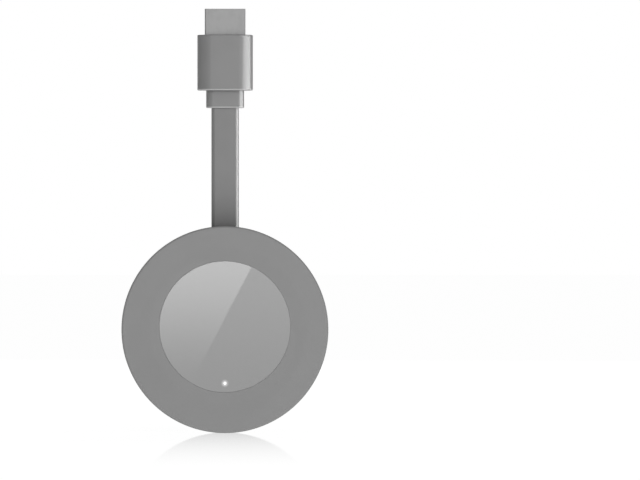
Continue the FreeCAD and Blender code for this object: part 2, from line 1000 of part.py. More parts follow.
def usb_space(inset, z_span):
    return stadium(usb_width - 2 * inset, usb_depth - 2 * inset, z_span)


def make_usb_shell():
    shell = usb_space(0, (usb_mouth, usb_end))
    shell = shell.cut(usb_space(usb_wall, (usb_mouth, usb_end)))
    wings = []
    for side in (-1, 1):
        outer = side * (usb_width / 2 + usb_wing)
        inner = side * (usb_width / 2 - usb_wall)
        x_span = sorted((inner, outer))
        z_span = (usb_end - usb_wing_length, usb_end)
        wings.append(block(x_span, (board_rear, board_rear + usb_wall), z_span))
    wings = [wing.cut(usb_space(usb_wall, (usb_mouth, usb_end))) for wing in wings]
    return shell.fuse(wings).removeSplitter()


def usb_tongue_end():
    return usb_mouth + usb_tongue_setback


def usb_block_face():
    return usb_end - usb_block_length


def make_usb_tongue():
    rear = usb_space(usb_wall, (usb_block_face(), usb_end))
    half = usb_tongue_thickness / 2
    tongue = centred(usb_tongue_width, (-half, half), (usb_tongue_end(), usb_block_face()))
    return rear.fuse(tongue).removeSplitter()


def make_usb_contacts():
    half = usb_tongue_thickness / 2
    end = usb_block_face()
    contacts = []
    for x in spaced(usb_contact_count, usb_contact_pitch):
        for side in (-1, 1):
            y_span = sorted((side * half, side * (half + usb_contact_thickness)))
            contacts.append(centred(usb_contact_width, y_span, (end - usb_contact_length, end), x))
    return Part.makeCompound(contacts)


# Puck: reset key

def radial_rod(diameter, inner, outer):
    """A round bar at the key's height, between two distances from the puck's axis."""
    return rod(diameter, (puck_z - outer, puck_z - inner), 0, switch_y)


def make_reset_key():
    face = puck_radius - key_sunk
    stem = radial_rod(key_diameter, flange_seat, face)
    stem = stem.makeChamfer(key_edge_bevel, edges_at(stem, "z", puck_z - face))
    flange = radial_rod(key_flange_diameter, plunger_tip, flange_seat)
    return about_puck(stem.fuse(flange).removeSplitter(), reset_angle)


def make_switch_plunger():
    plunger = radial_rod(plunger_diameter, switch_face - plunger_in_switch, plunger_tip)
    return about_puck(plunger, reset_angle)


def make_reset_switch():
    near = puck_z - switch_face
    y_span = (board_front - switch_height, board_front)
    body = centred(switch_width, y_span, (near, near + switch_length))
    bore_end = switch_face - plunger_in_switch - key_travel - plunger_end_gap
    bore = radial_rod(plunger_diameter + 2 * plunger_gap, bore_end, switch_face)
    return about_puck(body.cut(bore), reset_angle)


PARTS = {
    "plug_shell": make_plug_shell,
    "plug_insulator": make_plug_insulator,
    "plug_contacts": make_plug_contacts,
    "plug_board": make_plug_board,
    "plug_inner_mould": make_plug_inner_mould,
    "plug_overmould": make_plug_overmould,
    "plug_strain_relief": make_plug_strain_relief,
    "lead_jacket": make_lead_jacket,
    "lead_cores": make_lead_cores,
    "front_cover": make_front_cover,
    "rear_cover": make_rear_cover,
    "face_disc": make_face_disc,
    "disc_adhesive": make_disc_adhesive,
    "light_pipe": make_light_pipe,
    "status_led": make_status_led,
    "main_board": make_main_board,
    "board_screws": make_board_screws,
    "processor_chip": make_processor_chip,
    "memory_chips": make_memory_chips,
    "flash_chip": make_flash_chip,
    "power_chip": make_power_chip,
    "inductors": make_inductors,
    "capacitors": make_capacitors,
    "crystal": make_crystal,
    "shield_frame": make_shield_frame,
    "shield_cover": make_shield_cover,
    "chip_pad": make_chip_pad,
    "spreader_pad": make_spreader_pad,
    "heat_spreader": make_heat_spreader,
    "wireless_module": make_wireless_module,
    "left_antenna": lambda: make_antenna(-1),
    "right_antenna": lambda: make_antenna(1),
    "board_socket": make_board_socket,
    "lead_plug": make_lead_plug,
    "lead_grommet": make_lead_grommet,
    "usb_shell": make_usb_shell,
    "usb_tongue": make_usb_tongue,
    "usb_contacts": make_usb_contacts,
    "reset_key": make_reset_key,
    "switch_plunger": make_switch_plunger,
    "reset_switch": make_reset_switch,
}

os.makedirs("parts", exist_ok=True)
for name, make in PARTS.items():
    shape = make()
    shape.exportStep(os.path.join("parts", name + ".step"))
    print(name, len(shape.Solids), round(shape.Volume, 2), shape.isValid())
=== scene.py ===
import json
import logging
import math
from collections.abc import Callable, Iterable, Iterator
from contextlib import contextmanager
from dataclasses import dataclass, field
from enum import Enum, IntEnum

import bmesh
import bpy
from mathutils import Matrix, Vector

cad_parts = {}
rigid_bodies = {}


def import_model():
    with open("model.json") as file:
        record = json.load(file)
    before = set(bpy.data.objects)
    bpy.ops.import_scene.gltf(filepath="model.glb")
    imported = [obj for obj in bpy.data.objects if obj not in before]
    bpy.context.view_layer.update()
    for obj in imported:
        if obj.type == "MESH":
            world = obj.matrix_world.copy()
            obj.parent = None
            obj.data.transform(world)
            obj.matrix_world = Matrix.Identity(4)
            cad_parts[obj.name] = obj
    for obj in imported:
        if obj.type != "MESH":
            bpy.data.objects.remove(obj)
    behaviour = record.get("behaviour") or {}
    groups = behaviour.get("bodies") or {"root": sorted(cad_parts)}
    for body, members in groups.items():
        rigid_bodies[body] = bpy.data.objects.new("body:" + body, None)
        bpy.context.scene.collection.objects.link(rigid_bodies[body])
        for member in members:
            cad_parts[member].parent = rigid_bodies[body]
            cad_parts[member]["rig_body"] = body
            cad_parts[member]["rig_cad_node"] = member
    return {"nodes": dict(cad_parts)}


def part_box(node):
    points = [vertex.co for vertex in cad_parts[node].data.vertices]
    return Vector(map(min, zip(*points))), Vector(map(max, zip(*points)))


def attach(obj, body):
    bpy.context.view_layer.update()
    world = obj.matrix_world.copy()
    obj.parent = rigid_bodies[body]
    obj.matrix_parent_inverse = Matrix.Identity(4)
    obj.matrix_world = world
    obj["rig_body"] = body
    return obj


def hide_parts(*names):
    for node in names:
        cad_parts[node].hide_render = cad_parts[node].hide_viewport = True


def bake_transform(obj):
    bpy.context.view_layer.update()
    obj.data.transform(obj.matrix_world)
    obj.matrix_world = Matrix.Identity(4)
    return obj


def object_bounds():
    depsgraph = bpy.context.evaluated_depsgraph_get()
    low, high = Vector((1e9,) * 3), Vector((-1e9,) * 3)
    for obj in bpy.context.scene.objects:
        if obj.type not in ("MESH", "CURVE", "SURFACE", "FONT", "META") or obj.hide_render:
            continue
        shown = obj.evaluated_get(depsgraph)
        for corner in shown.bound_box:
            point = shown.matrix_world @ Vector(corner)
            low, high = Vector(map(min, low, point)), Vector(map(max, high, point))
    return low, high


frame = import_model()
cad_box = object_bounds()

# Looks of the streaming media stick: a round matt puck with a glossy inlay and a status light, a short flat
# lead, and a video plug. Metres, +Z up, +X right, +Y away from the viewer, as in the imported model.

LOG = logging.getLogger("media_stick")
MM = 0.001
# Two places nearer than this are one and the same.
TOUCH = 0.01 * MM
# How far a cutter reaches past what it cuts.
PAST = 1 * MM
# The share of a normal on an axis from which a face counts as looking along it.
FACING = 0.9
CREASE = math.radians(32)
RIM_SIDES = 224
HOLE_SIDES = 64
BORE_STEPS = 12
# The values between which nearly all of a noise lies.
NOISE_SPAN = (0.3, 0.7)
# A Mix node's colour sockets go by number, because their names repeat.
SHARE, FIRST, SECOND, MIXED = 0, 6, 7, 2
WHITE, BLACK = "#FFFFFF", "#000000"
REST_PLACE = "rest_place"

Thing = bpy.types.Object
Material = bpy.types.Material
Socket = bpy.types.NodeSocket
Outputs = bpy.types.bpy_prop_collection
Tree = bpy.types.NodeTree
Values = dict[str | int, object]
Point = tuple[float, float, float]
Span = tuple[float, float]
# Where a change starts and ends, and its values at those two places.
Ramp = tuple[float, float, float, float]
# Tones over a surface's colour, as sRGB hex, each with where it shows.
Tones = list[tuple[Socket, str]]
# Tells from a face's middle and normal, or from an edge's two ends, whether it is picked.
Test = Callable[[Vector, Vector], bool]


class Axis(IntEnum):
    """The axes, by their place in a vector."""

    X = 0
    Y = 1
    Z = 2


class Pick(Enum):
    """What is selected in edit mode."""

    EDGES = "EDGE"
    FACES = "FACE"


class Cut(Enum):
    """How one solid acts on another."""

    TAKE_AWAY = "DIFFERENCE"
    KEEP_INSIDE = "INTERSECT"


class Lay(Enum):
    """The direction that drawn lines run in, as the scale of their coordinates."""

    ACROSS = (0.04, 1.0, 1.0)
    DEEP = (1.0, 0.04, 1.0)
    UPRIGHT = (1.0, 1.0, 0.04)


class Role(Enum):
    """What a lamp does."""

    FILL = "lights the faces and shows in no gloss"
    STREAK = "shows in the gloss and lights no face"


# Nodes

def linear(colour: str) -> tuple[float, ...]:
    """Turn an sRGB hex colour into linear RGBA.

    Args:
        colour: Hex text such as "#8A8A8A".

    Returns:
        Red, green, blue and an alpha of one.
    """
    shares = [int(colour[at:at + 2], 16) / 255 for at in (1, 3, 5)]
    return (*(s / 12.92 if s <= 0.04045 else ((s + 0.055) / 1.055) ** 2.4 for s in shares), 1.0)


def add_node(tree: Tree, kind: str, inputs: Values | tuple = (), **settings: object) -> Outputs:
    """Add one node with its settings and links.

    Args:
        tree: The node tree that gets it.
        kind: The node's type, without its prefix.
        inputs: Values and sockets, in the order of the node's inputs or by their names or numbers.
        settings: The node's own properties, set before its inputs.

    Returns:
        The node's outputs, to be taken by name or number.
    """
    node = tree.nodes.new(f"ShaderNode{kind}")
    for name, setting in settings.items():
        setattr(node, name, setting)
    for key, value in inputs.items() if isinstance(inputs, dict) else enumerate(inputs):
        if isinstance(value, Socket):
            tree.links.new(value, node.inputs[key])
        else:
            node.inputs[key].default_value = value
    return node.outputs


def empty_tree(holder: Material | bpy.types.World) -> Tree:
    """Give a material or a world an empty node tree.

    Args:
        holder: The material or world.

    Returns:
        Its tree.
    """
    holder.use_nodes = True
    holder.node_tree.nodes.clear()
    return holder.node_tree


# Kinds of finish

@dataclass(frozen=True)
class Surface:
    """Anything that a face can be covered with, by its name."""

    name: str

    def shader(self, tree: Tree) -> Socket:
        """Add the surface's nodes and return their last output."""
        raise NotImplementedError

    def build(self) -> Material:
        """Make the material.

        Returns:
            A node material with the surface's name.
        """
        material = bpy.data.materials.new(self.name)
        tree = empty_tree(material)
        add_node(tree, "OutputMaterial", {"Surface": self.shader(tree)})
        return material


@dataclass(frozen=True)
class Finish(Surface):
    """A real material with the surface that its process leaves, which its name says.

    Attributes:
        colour: sRGB hex of the plain surface.
        roughness: The shader's roughness.
        ior: Refractive index, or None for a metal, which keeps the default.
        bends: True where the patterns follow a piece that bends, by its places at rest.
    """

    colour: str
    roughness: float
    ior: float | None = 1.5
    bends: bool = field(default=False, kw_only=True)

    def patterns(self, tree: Tree, place: Socket) -> tuple[Tones, Values]:
        """Return the tones over the colour, and further shader inputs."""
        return [], {}

    def shader(self, tree: Tree) -> Socket:
        """Add the patterns and the shader.

        Args:
            tree: The material's node tree.

        Returns:
            The shader's output.
        """
        if self.bends:
            place = add_node(tree, "Attribute", attribute_name=REST_PLACE)["Vector"]
        else:
            place = add_node(tree, "TexCoord")["Object"]
        tones, values = self.patterns(tree, place)
        colour: object = linear(self.colour)
        for share, tone in tones:
            layer = {SHARE: share, FIRST: colour, SECOND: linear(tone)}
            colour = add_node(tree, "Mix", layer, data_type="RGBA")[MIXED]
        kind = {"Metallic": 1.0} if self.ior is None else {"IOR": self.ior}
        plain = {"Base Color": colour, "Roughness": self.roughness}
        return add_node(tree, "BsdfPrincipled", plain | kind | values)["BSDF"]


@dataclass(frozen=True)
class Moulded(Finish):
    """A moulded or pressed part: fine grain from the tool over broad, faint patches.

    Attributes:
        tone: sRGB hex of the patches.
        grain: Size of the grain in metres.
        depth: Its depth in metres.
        patch: Size of the patches in metres.
        patch_span: The noise values at which a patch starts and is full.
        detail: Finer layers of the patches' noise and of the grain's.
        sheen: How far the grain swings the roughness.
        lay: Which way the grain is drawn out into lines, if it is.
    """

    tone: str = "#808080"
    grain: float = 0.3 * MM
    depth: float = 0.004 * MM
    patch: float = 14 * MM
    patch_span: Span = (0.35, 0.65)
    detail: Span = (2.0, 3.0)
    sheen: Span = (-0.04, 0.05)
    lay: Lay | None = None

    def relief(self, tree: Tree, place: Socket, grain: Socket) -> Socket:
        """Return the height of the relief, which is the grain's."""
        return grain

    def texture(self, tree: Tree, place: Socket) -> Values:
        """Add the grain.

        Args:
            tree: The material's node tree.
            place: The coordinates that it follows.

        Returns:
            The uneven roughness and the normal that it gives.
        """
        laid = place
        if self.lay:
            laid = add_node(tree, "Mapping", {"Vector": place, "Scale": self.lay.value})["Vector"]
        noise = {"Vector": laid, "Scale": 1 / self.grain, "Detail": self.detail[1]}
        grain = add_node(tree, "TexNoise", noise)["Fac"]
        sheen = (grain, *NOISE_SPAN, *(self.roughness + swing for swing in self.sheen))
        bump = {"Height": self.relief(tree, place, grain), "Distance": self.depth}
        return {
            "Roughness": add_node(tree, "MapRange", sheen)["Result"],
            "Normal": add_node(tree, "Bump", bump)["Normal"],
        }

    def patterns(self, tree: Tree, place: Socket) -> tuple[Tones, Values]:
        """Add the patches and the grain.

        Args:
            tree: The material's node tree.
            place: The coordinates that they follow.

        Returns:
            The patches' tone, and the grain's shader inputs.
        """
        noise = {"Vector": place, "Scale": 1 / self.patch, "Detail": self.detail[0]}
        broad = add_node(tree, "TexNoise", noise)["Fac"]
        share = add_node(tree, "MapRange", (broad, *self.patch_span, 0.0, 1.0))["Result"]
        return [(share, self.tone)], self.texture(tree, place)


@dataclass(frozen=True)
class PaintedRimMoulded(Moulded):
    """A moulded grip with a painted highlight: a paler band along the rim of each of its lower ends.

    Attributes:
        ends: Heights of those ends on Z, in metres.
        rim_highlight: sRGB hex of the painted highlight on each rim.
        rim_highlight_height: How far up from an end the painted highlight reaches, in metres.
    """

    ends: tuple[float, ...] = ()
    rim_highlight: str = "#AAAAAA"
    rim_highlight_height: float = 0.45 * MM

    def patterns(self, tree: Tree, place: Socket) -> tuple[Tones, Values]:
        """Add the painted highlights on the lower rims to the rest.

        Args:
            tree: The material's node tree.
            place: The coordinates that they follow.

        Returns:
            The tones, and the grain's shader inputs.
        """
        tones, values = super().patterns(tree, place)
        height = add_node(tree, "SeparateXYZ", (place,))["Z"]
        half = self.rim_highlight_height / 2
        # Painted highlight: a pale band at each lower end, where light from below would catch the rim.
        for end in self.ends:
            rim = (height, end + half, half)
            tones.append((add_node(tree, "Math", rim, operation="COMPARE")["Value"], self.rim_highlight))
        return tones, values


@dataclass(frozen=True)
class Sheathed(Moulded):
    """An extruded jacket: fine lines along the lead, which bend with it, and a painted shade that darkens it
    towards the puck.

    Attributes:
        line: Width of the lines that the die leaves, in metres.
        foot: sRGB hex of the painted shade where the lead goes into the puck.
        painted_shade_span: Where on Z the painted shade starts and where it is full.
        painted_shade_power: How late the painted shade comes on between those two.
    """

    line: float = 0.25 * MM
    foot: str = "#808080"
    painted_shade_span: Span = (-45 * MM, -66 * MM)
    painted_shade_power: float = 2.0
    bends: bool = field(default=True, kw_only=True)

    def relief(self, tree: Tree, place: Socket, grain: Socket) -> Socket:
        """Return the height of the die's lines, which take the place of the grain's."""
        laid = add_node(tree, "Mapping", {"Vector": place, "Scale": Lay.UPRIGHT.value})["Vector"]
        return add_node(tree, "TexNoise", {"Vector": laid, "Scale": 1 / self.line})["Fac"]

    def patterns(self, tree: Tree, place: Socket) -> tuple[Tones, Values]:
        """Add the painted shade by the puck to the rest.

        Args:
            tree: The material's node tree.
            place: The coordinates that it follows.

        Returns:
            The tones, and the grain's and the lines' shader inputs.
        """
        tones, values = super().patterns(tree, place)
        # Painted shade: the colour darkens towards the puck, as if the rim shaded the lead.
        height = add_node(tree, "SeparateXYZ", (place,))["Z"]
        near = add_node(tree, "MapRange", (height, *self.painted_shade_span, 0.0, 1.0))["Result"]
        late = add_node(tree, "Math", (near, self.painted_shade_power), operation="POWER")["Value"]
        return [*tones, (late, self.foot)], values


@dataclass(frozen=True)
class Metal(Moulded):
    """Sheet, wire or turned metal: its grain is lines along its lay, and its patches have dulled."""

    ior: float | None = None
    grain: float = 0.12 * MM
    depth: float = 0.0015 * MM
    patch: float = 3 * MM
    patch_span: Span = (0.45, 0.7)
    detail: Span = (3.0, 3.0)
    sheen: Span = (-0.05, 0.07)
    lay: Lay | None = Lay.UPRIGHT


@dataclass(frozen=True)
class Striped(Moulded):
    """Pieces that repeat across the part, each with its own colour or with plated ends, finely grained.

    Attributes:
        stripes: sRGB hex of the stripes in a period, from left to right, after the one in the plain colour.
        pitch: Length of a period in metres.
        start: Where a period starts on X, in metres.
    """

    grain: float = 0.2 * MM
    depth: float = 0.002 * MM
    detail: Span = (2.0, 2.0)
    sheen: Span = (-0.05, 0.05)
    stripes: tuple[str, ...] = ()
    pitch: float = 1.0 * MM
    start: float = 0.0

    def patterns(self, tree: Tree, place: Socket) -> tuple[Tones, Values]:
        """Add the stripes and the grain.

        Args:
            tree: The material's node tree.
            place: The coordinates that they follow.

        Returns:
            The stripes' colours, and the grain's shader inputs.
        """
        across = add_node(tree, "SeparateXYZ", (place,))["X"]
        turns = (across, 1 / self.pitch, -self.start / self.pitch)
        periods = add_node(tree, "Math", turns, operation="MULTIPLY_ADD")["Value"]
        share = add_node(tree, "Math", (periods,), operation="FRACT")["Value"]
        tones = []
        for index, colour in enumerate(self.stripes, start=1):
            edge = (share, index / (1 + len(self.stripes)))
            tones.append((add_node(tree, "Math", edge, operation="GREATER_THAN")["Value"], colour))
        return tones, self.texture(tree, place)


@dataclass(frozen=True)
class Laminate(Finish):
    """A printed board: tracks that show as paler lines under the coloured mask, over a faint weave.

    Attributes:
        copper: sRGB hex of the mask over copper.
        track_pitch: Distance between tracks in metres.
        track_height: Thickness of the copper in metres.
        weave: Size of the glass cloth's weave in metres.
        weave_share: Its height as a share of the copper's.
    """

    copper: str = "#2F7A55"
    track_pitch: float = 1.2 * MM
    track_height: float = 0.03 * MM
    weave: float = 0.5 * MM
    weave_share: float = 0.2

    def patterns(self, tree: Tree, place: Socket) -> tuple[Tones, Values]:
        """Add the tracks, raised by the copper's thickness, and the weave.

        Args:
            tree: The material's node tree.
            place: The coordinates that they follow.

        Returns:
            The copper's tone, and the relief's normal.
        """
        flat = add_node(tree, "Mapping", {"Vector": place, "Rotation": (math.pi / 2, 0, 0)})["Vector"]
        layout = {"Vector": flat, "Scale": 1 / self.track_pitch, "Mortar Size": 0.12, "Mortar Smooth": 0.1,
                  "Brick Width": 3.4, "Row Height": 0.6}
        tracks = add_node(tree, "TexBrick", layout, offset=0.37)["Fac"]
        cloth = add_node(tree, "TexNoise", {"Vector": place, "Scale": 1 / self.weave})["Fac"]
        height = add_node(tree, "Math", (cloth, self.weave_share, tracks), operation="MULTIPLY_ADD")["Value"]
        bump = {"Height": height, "Distance": self.track_height}
        return [(tracks, self.copper)], {"Normal": add_node(tree, "Bump", bump)["Normal"]}


@dataclass(frozen=True)
class Inlaid(Finish):
    """A polished inlay, with light that creeps into it round the status light, and faint wipe marks.

    Attributes:
        light: Where the light is, in metres.
        halo: How bright the inlay is by the distance from it.
        wipe: Size of the wipe marks in metres.
        wipe_way: Scale of their coordinates, which gives them their slant.
        wipe_span: The noise values at which a mark starts and is full.
        wipe_sheen: How much rougher a mark is.
    """

    light: Point = (0.0, 0.0, 0.0)
    halo: Ramp = (0.5 * MM, 1.5 * MM, 0.28, 0.0)
    wipe: float = 5 * MM
    wipe_way: Point = (0.5, 1.0, 1.4)
    wipe_span: Span = (0.4, 0.7)
    wipe_sheen: float = 0.004

    def patterns(self, tree: Tree, place: Socket) -> tuple[Tones, Values]:
        """Add the halo and the wipe marks.

        Args:
            tree: The material's node tree.
            place: The coordinates that they follow.

        Returns:
            No tones, and the glow and the uneven roughness.
        """
        away = add_node(tree, "VectorMath", (place, self.light), operation="DISTANCE")["Value"]
        share = add_node(tree, "MapRange", (away, *self.halo), interpolation_type="SMOOTHSTEP")["Result"]
        glow = {SHARE: share, FIRST: linear(BLACK), SECOND: linear(WHITE)}
        laid = add_node(tree, "Mapping", {"Vector": place, "Scale": self.wipe_way})["Vector"]
        marks = add_node(tree, "TexNoise", {"Vector": laid, "Scale": 1 / self.wipe, "Detail": 4.0})["Fac"]
        sheen = (marks, *self.wipe_span, self.roughness, self.roughness + self.wipe_sheen)
        return [], {
            "Emission Color": add_node(tree, "Mix", glow, data_type="RGBA")[MIXED],
            "Emission Strength": 1.0,
            "Roughness": add_node(tree, "MapRange", sheen)["Result"],
        }


@dataclass(frozen=True)
class Lit(Finish):
    """Clear or white plastic with light coming out of it, and faint flow marks.

    Attributes:
        light: A point on the axis that it shines along, which is parallel to Y.
        glow: How bright it is by the distance from that axis.
        flow: Size of the flow marks in metres.
    """

    light: Point = (0.0, 0.0, 0.0)
    glow: Ramp = (0.1 * MM, 0.6 * MM, 1.0, 0.1)
    flow: float = 0.5 * MM

    def patterns(self, tree: Tree, place: Socket) -> tuple[Tones, Values]:
        """Add the flow marks and the glow.

        Args:
            tree: The material's node tree.
            place: The coordinates that they follow.

        Returns:
            The marks' white, and the glow.
        """
        offset = add_node(tree, "VectorMath", (place, self.light), operation="SUBTRACT")["Vector"]
        flat = add_node(tree, "VectorMath", (offset, (1, 0, 1)), operation="MULTIPLY")["Vector"]
        away = add_node(tree, "VectorMath", (flat,), operation="LENGTH")["Value"]
        glow = add_node(tree, "MapRange", (away, *self.glow), interpolation_type="SMOOTHSTEP")["Result"]
        marks = add_node(tree, "TexNoise", {"Vector": place, "Scale": 1 / self.flow})["Fac"]
        return [(marks, WHITE)], {"Emission Color": linear(WHITE), "Emission Strength": glow}


# Finishes of this part

PIPE_LOW, PIPE_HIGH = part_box("light_pipe")
LIGHT_HEIGHT = (PIPE_LOW.z + PIPE_HIGH.z) / 2
LIGHT = (0.0, PIPE_LOW.y, LIGHT_HEIGHT)
GRIP_ENDS = (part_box("plug_overmould")[0].z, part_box("plug_strain_relief")[0].z)
CORE_PITCH = 1.9 * MM
CAPACITOR_BODY, CAPACITOR_END = "#A88763", "#C8C8C4"


class Coat(Enum):
    """Every finish of the part, by its material and process."""

    # PC/ABS from a spark-eroded tool: dead matt mid grey. Its 0.1 mm grain is drawn coarser, to show.
    COVER = Moulded("ABS moulded matt", "#878787", 0.58, 1.53, "#858585", 0.28 * MM, 0.016 * MM, 22 * MM)
    # Soft PVC over the plug, moulded in a blasted tool: the same grey with a satin sheen on its round sides,
    # and a painted highlight along the lower rims.
    GRIP = PaintedRimMoulded("PVC moulded satin", "#7F7F7F", 0.34, 1.52, "#7C7C7C", 0.22 * MM, 0.006 * MM, 12 * MM,
                  ends=GRIP_ENDS)
    # The same PVC drawn through a die: faint lines along the lead, and a painted shade that darkens it
    # towards the puck's rim.
    JACKET = Sheathed("PVC extruded satin", "#7A7A7A", 0.34, 1.52, "#787878", 0.22 * MM, 0.005 * MM, 9 * MM,
                      foot="#505050")
    # Polished PMMA, a grey seen through a clear skin: it mirrors like glass.
    INLAY = Inlaid("acrylic polished grey", "#9C9C9C", 0.004, 1.49, light=LIGHT)
    # Clear acrylic pin, lit from behind: brightest in the middle of its tip.
    LIGHT_PIN = Lit("acrylic clear lit", "#A8A8A8", 0.2, 1.49, LIGHT, (0.1 * MM, 0.5 * MM, 1.2, 0.1))
    # The light's moulded lens: milky white, and brighter than the pin.
    LENS = Lit("epoxy lens white", "#F8F6E8", 0.3, 1.5, LIGHT, (0.1 * MM, 0.6 * MM, 2.0, 0.1))
    # Glass-filled nylon holds the contacts: black, with the fibres' faint speckle.
    BLACK_NYLON = Moulded("nylon moulded black", "#1E1E20", 0.5, 1.53, "#29292B", 0.15 * MM, patch=2 * MM)
    # Hard polyethylene pressed round the solder joints: milky and slightly waxy.
    CORE_MOULD = Moulded("polyethylene moulded natural", "#D2D0C6", 0.45, 1.51, "#C8C5B8",
                         0.4 * MM, 0.006 * MM, 4 * MM)
    # Natural nylon of board connectors: warm white.
    IVORY_NYLON = Moulded("nylon moulded natural", "#E4DCC8", 0.42, 1.53, "#DAD0B8",
                          0.2 * MM, 0.003 * MM, 2 * MM)
    # Chip packages of moulded epoxy: nearly black, with a fine even grit.
    EPOXY = Moulded("epoxy moulded", "#2A2A2C", 0.55, 1.55, "#333335", 0.1 * MM, patch=3 * MM)
    # Pressed and fired ferrite of the coils: dark and slightly grainy.
    FERRITE = Moulded("ferrite pressed", "#3E3E42", 0.6, 1.7, "#4A4A4C", 0.12 * MM, 0.006 * MM, 1.5 * MM)
    # Filled silicone of the thermal pads: soft blue grey.
    SILICONE = Moulded("silicone filled", "#7C9DB0", 0.7, 1.43, "#7292A4", 0.25 * MM, 0.01 * MM, 2 * MM)
    # Black acrylic foam tape behind the inlay: rough, with open cells.
    FOAM = Moulded("acrylic foam tape", "#1A1A1B", 0.8, 1.49, "#242425", depth=0.02 * MM, patch=3 * MM)
    # Folded steel with a dull nickel plating: an even, slightly dark grey that keeps its rolling lines.
    NICKEL = Metal("steel nickel-plated", "#B4B4B4", 0.36, tone="#AFAFAF")
    # Hard gold on copper alloy: warm and bright.
    GOLD = Metal("copper alloy gold-plated", "#E3BE73", 0.22, tone="#CDA55C", grain=0.06 * MM)
    # Tinned sheet of the shield, the radio's can and the crystal: pale, with lines across.
    TINPLATE = Metal("steel tinned", "#C9C9C6", 0.34, tone="#B5B5B0", lay=Lay.ACROSS)
    # Zinc-plated screws: cool grey, turned along their axes.
    ZINC = Metal("steel zinc-plated", "#B8B9BC", 0.3, tone="#9FA0A6", lay=Lay.DEEP)
    # Stamped and rolled spreader plate: pale and satin.
    ALUMINIUM = Metal("aluminium rolled", "#D6D6D8", 0.38, tone="#C6C6C8", grain=0.2 * MM, lay=Lay.ACROSS)
    # Drawn stainless sleeve of the power socket: brighter than the nickel, with lines along it.
    STAINLESS = Metal("stainless steel drawn", "#BEBEC0", 0.28, tone="#ACACB0")
    # Green solder mask over a glass laminate: glossy, with the tracks showing through.
    BOARD = Laminate("glass laminate masked green", "#1C523A", 0.32, 1.52)
    # Extruded polyethylene round each core: plain, waxy colours, one to a core.
    CORES = Striped("polyethylene extruded coloured", "#B03A2E", 0.4, 1.51, pitch=4 * CORE_PITCH,
                    stripes=("#2B2B2D", "#D8D8D4", "#2F7D4A"), start=-2 * CORE_PITCH, bends=True)
    # Fired ceramic chips: tan, with tinned ends, which come round once in each pitch.
    CAPACITOR = Striped("ceramic fired tinned ends", CAPACITOR_END, 0.4, 1.6, pitch=2.0 * MM,
                        stripes=(*3 * (CAPACITOR_BODY,), *4 * (CAPACITOR_END,)),
                        start=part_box("capacitors")[0].x)


Materials = dict[Coat, Material]
# A modelled piece with its finish, the record's material slot, and the node that it stands for.
Piece = tuple[Thing, Coat, str, str]


# Modelling

def settle() -> None:
    """Leave edit mode and select nothing."""
    if bpy.context.object is not None and bpy.context.object.mode != "OBJECT":
        bpy.ops.object.mode_set(mode="OBJECT")
    bpy.ops.object.select_all(action="DESELECT")


def take(thing: Thing) -> None:
    """Select one object alone and make it active.

    Args:
        thing: The object.
    """
    settle()
    thing.select_set(True)
    bpy.context.view_layer.objects.active = thing


@contextmanager
def editing(thing: Thing, pick: Pick, test: Test | None = None) -> Iterator[None]:
    """Hold an object in edit mode, with what passes a test selected, or all of it.

    Args:
        thing: The object.
        pick: Whether edges or faces are selected.
        test: Which of them, or None for all.
    """
    take(thing)
    bpy.ops.object.mode_set(mode="EDIT")
    bpy.ops.mesh.select_mode(type=pick.value)
    bpy.ops.mesh.select_all(action="DESELECT" if test else "SELECT")
    if test:
        mesh = bmesh.from_edit_mesh(thing.data)
        if pick is Pick.FACES:
            for face in mesh.faces:
                face.select_set(test(face.calc_center_median(), face.normal))
        else:
            for edge in mesh.edges:
                edge.select_set(test(edge.verts[0].co, edge.verts[1].co))
        bmesh.update_edit_mesh(thing.data)
    yield
    bpy.ops.object.mode_set(mode="OBJECT")


def same(first: float, second: float) -> bool:
    """Tell whether two places are one and the same."""
    return abs(first - second) < TOUCH


def on_level(axis: Axis, level: float) -> Test:
    """Return the test for edges that lie at one level of an axis."""
    return lambda a, b: same(a[axis], level) and same(b[axis], level)


def upright(a: Vector, b: Vector) -> bool:
    """Tell whether an edge runs along Z."""
    return same(a.x, b.x) and same(a.y, b.y)


def block(name: str, low: Iterable[float], high: Iterable[float]) -> Thing:
    """Add a cube primitive stretched between two corners.

    Args:
        name: The piece's name.
        low: Its lowest corner.
        high: Its highest corner.

    Returns:
        The object, with its place in its mesh.
    """
    settle()
    low, high = Vector(low), Vector(high)
    bpy.ops.mesh.primitive_cube_add(size=1, location=(low + high) / 2)
    thing = bpy.context.object
    thing.scale = high - low
    bpy.ops.object.transform_apply(location=True, rotation=True, scale=True)
    thing.name = name
    return thing


def barrel(name: str, radius: float, span: Span, axis: Span, sides: int = RIM_SIDES) -> Thing:
    """Add a cylinder primitive that lies along Y.

    Args:
        name: The piece's name.
        radius: Its radius.
        span: Where it starts and ends on Y.
        axis: Where its axis is on X and Z.
        sides: How many sides it has.

    Returns:
        The object, with its place in its mesh.
    """
    settle()
    bpy.ops.mesh.primitive_cylinder_add(
        vertices=sides, radius=radius, depth=span[1] - span[0],
        location=(axis[0], (span[0] + span[1]) / 2, axis[1]), rotation=(math.pi / 2, 0, 0))
    bpy.ops.object.transform_apply(location=True, rotation=True, scale=True)
    bpy.context.object.name = name
    return bpy.context.object


def round_off(thing: Thing, test: Test, radius: float, steps: int) -> None:
    """Round the edges that pass a test, in steps."""
    with editing(thing, Pick.EDGES, test):
        bpy.ops.mesh.bevel(offset=radius, segments=steps, affect="EDGES")


def slab(name: str, low: Vector, high: Vector, steps: int) -> Thing:
    """Add a block whose upright edges are rounded into half circles, as a flat lead's section has.

    Args:
        name: The piece's name.
        low: Its lowest corner.
        high: Its highest corner.
        steps: Steps of each quarter circle.

    Returns:
        The object.
    """
    thing = block(name, low, high)
    round_off(thing, upright, (high.y - low.y) / 2 - 2 * TOUCH, steps)
    return thing


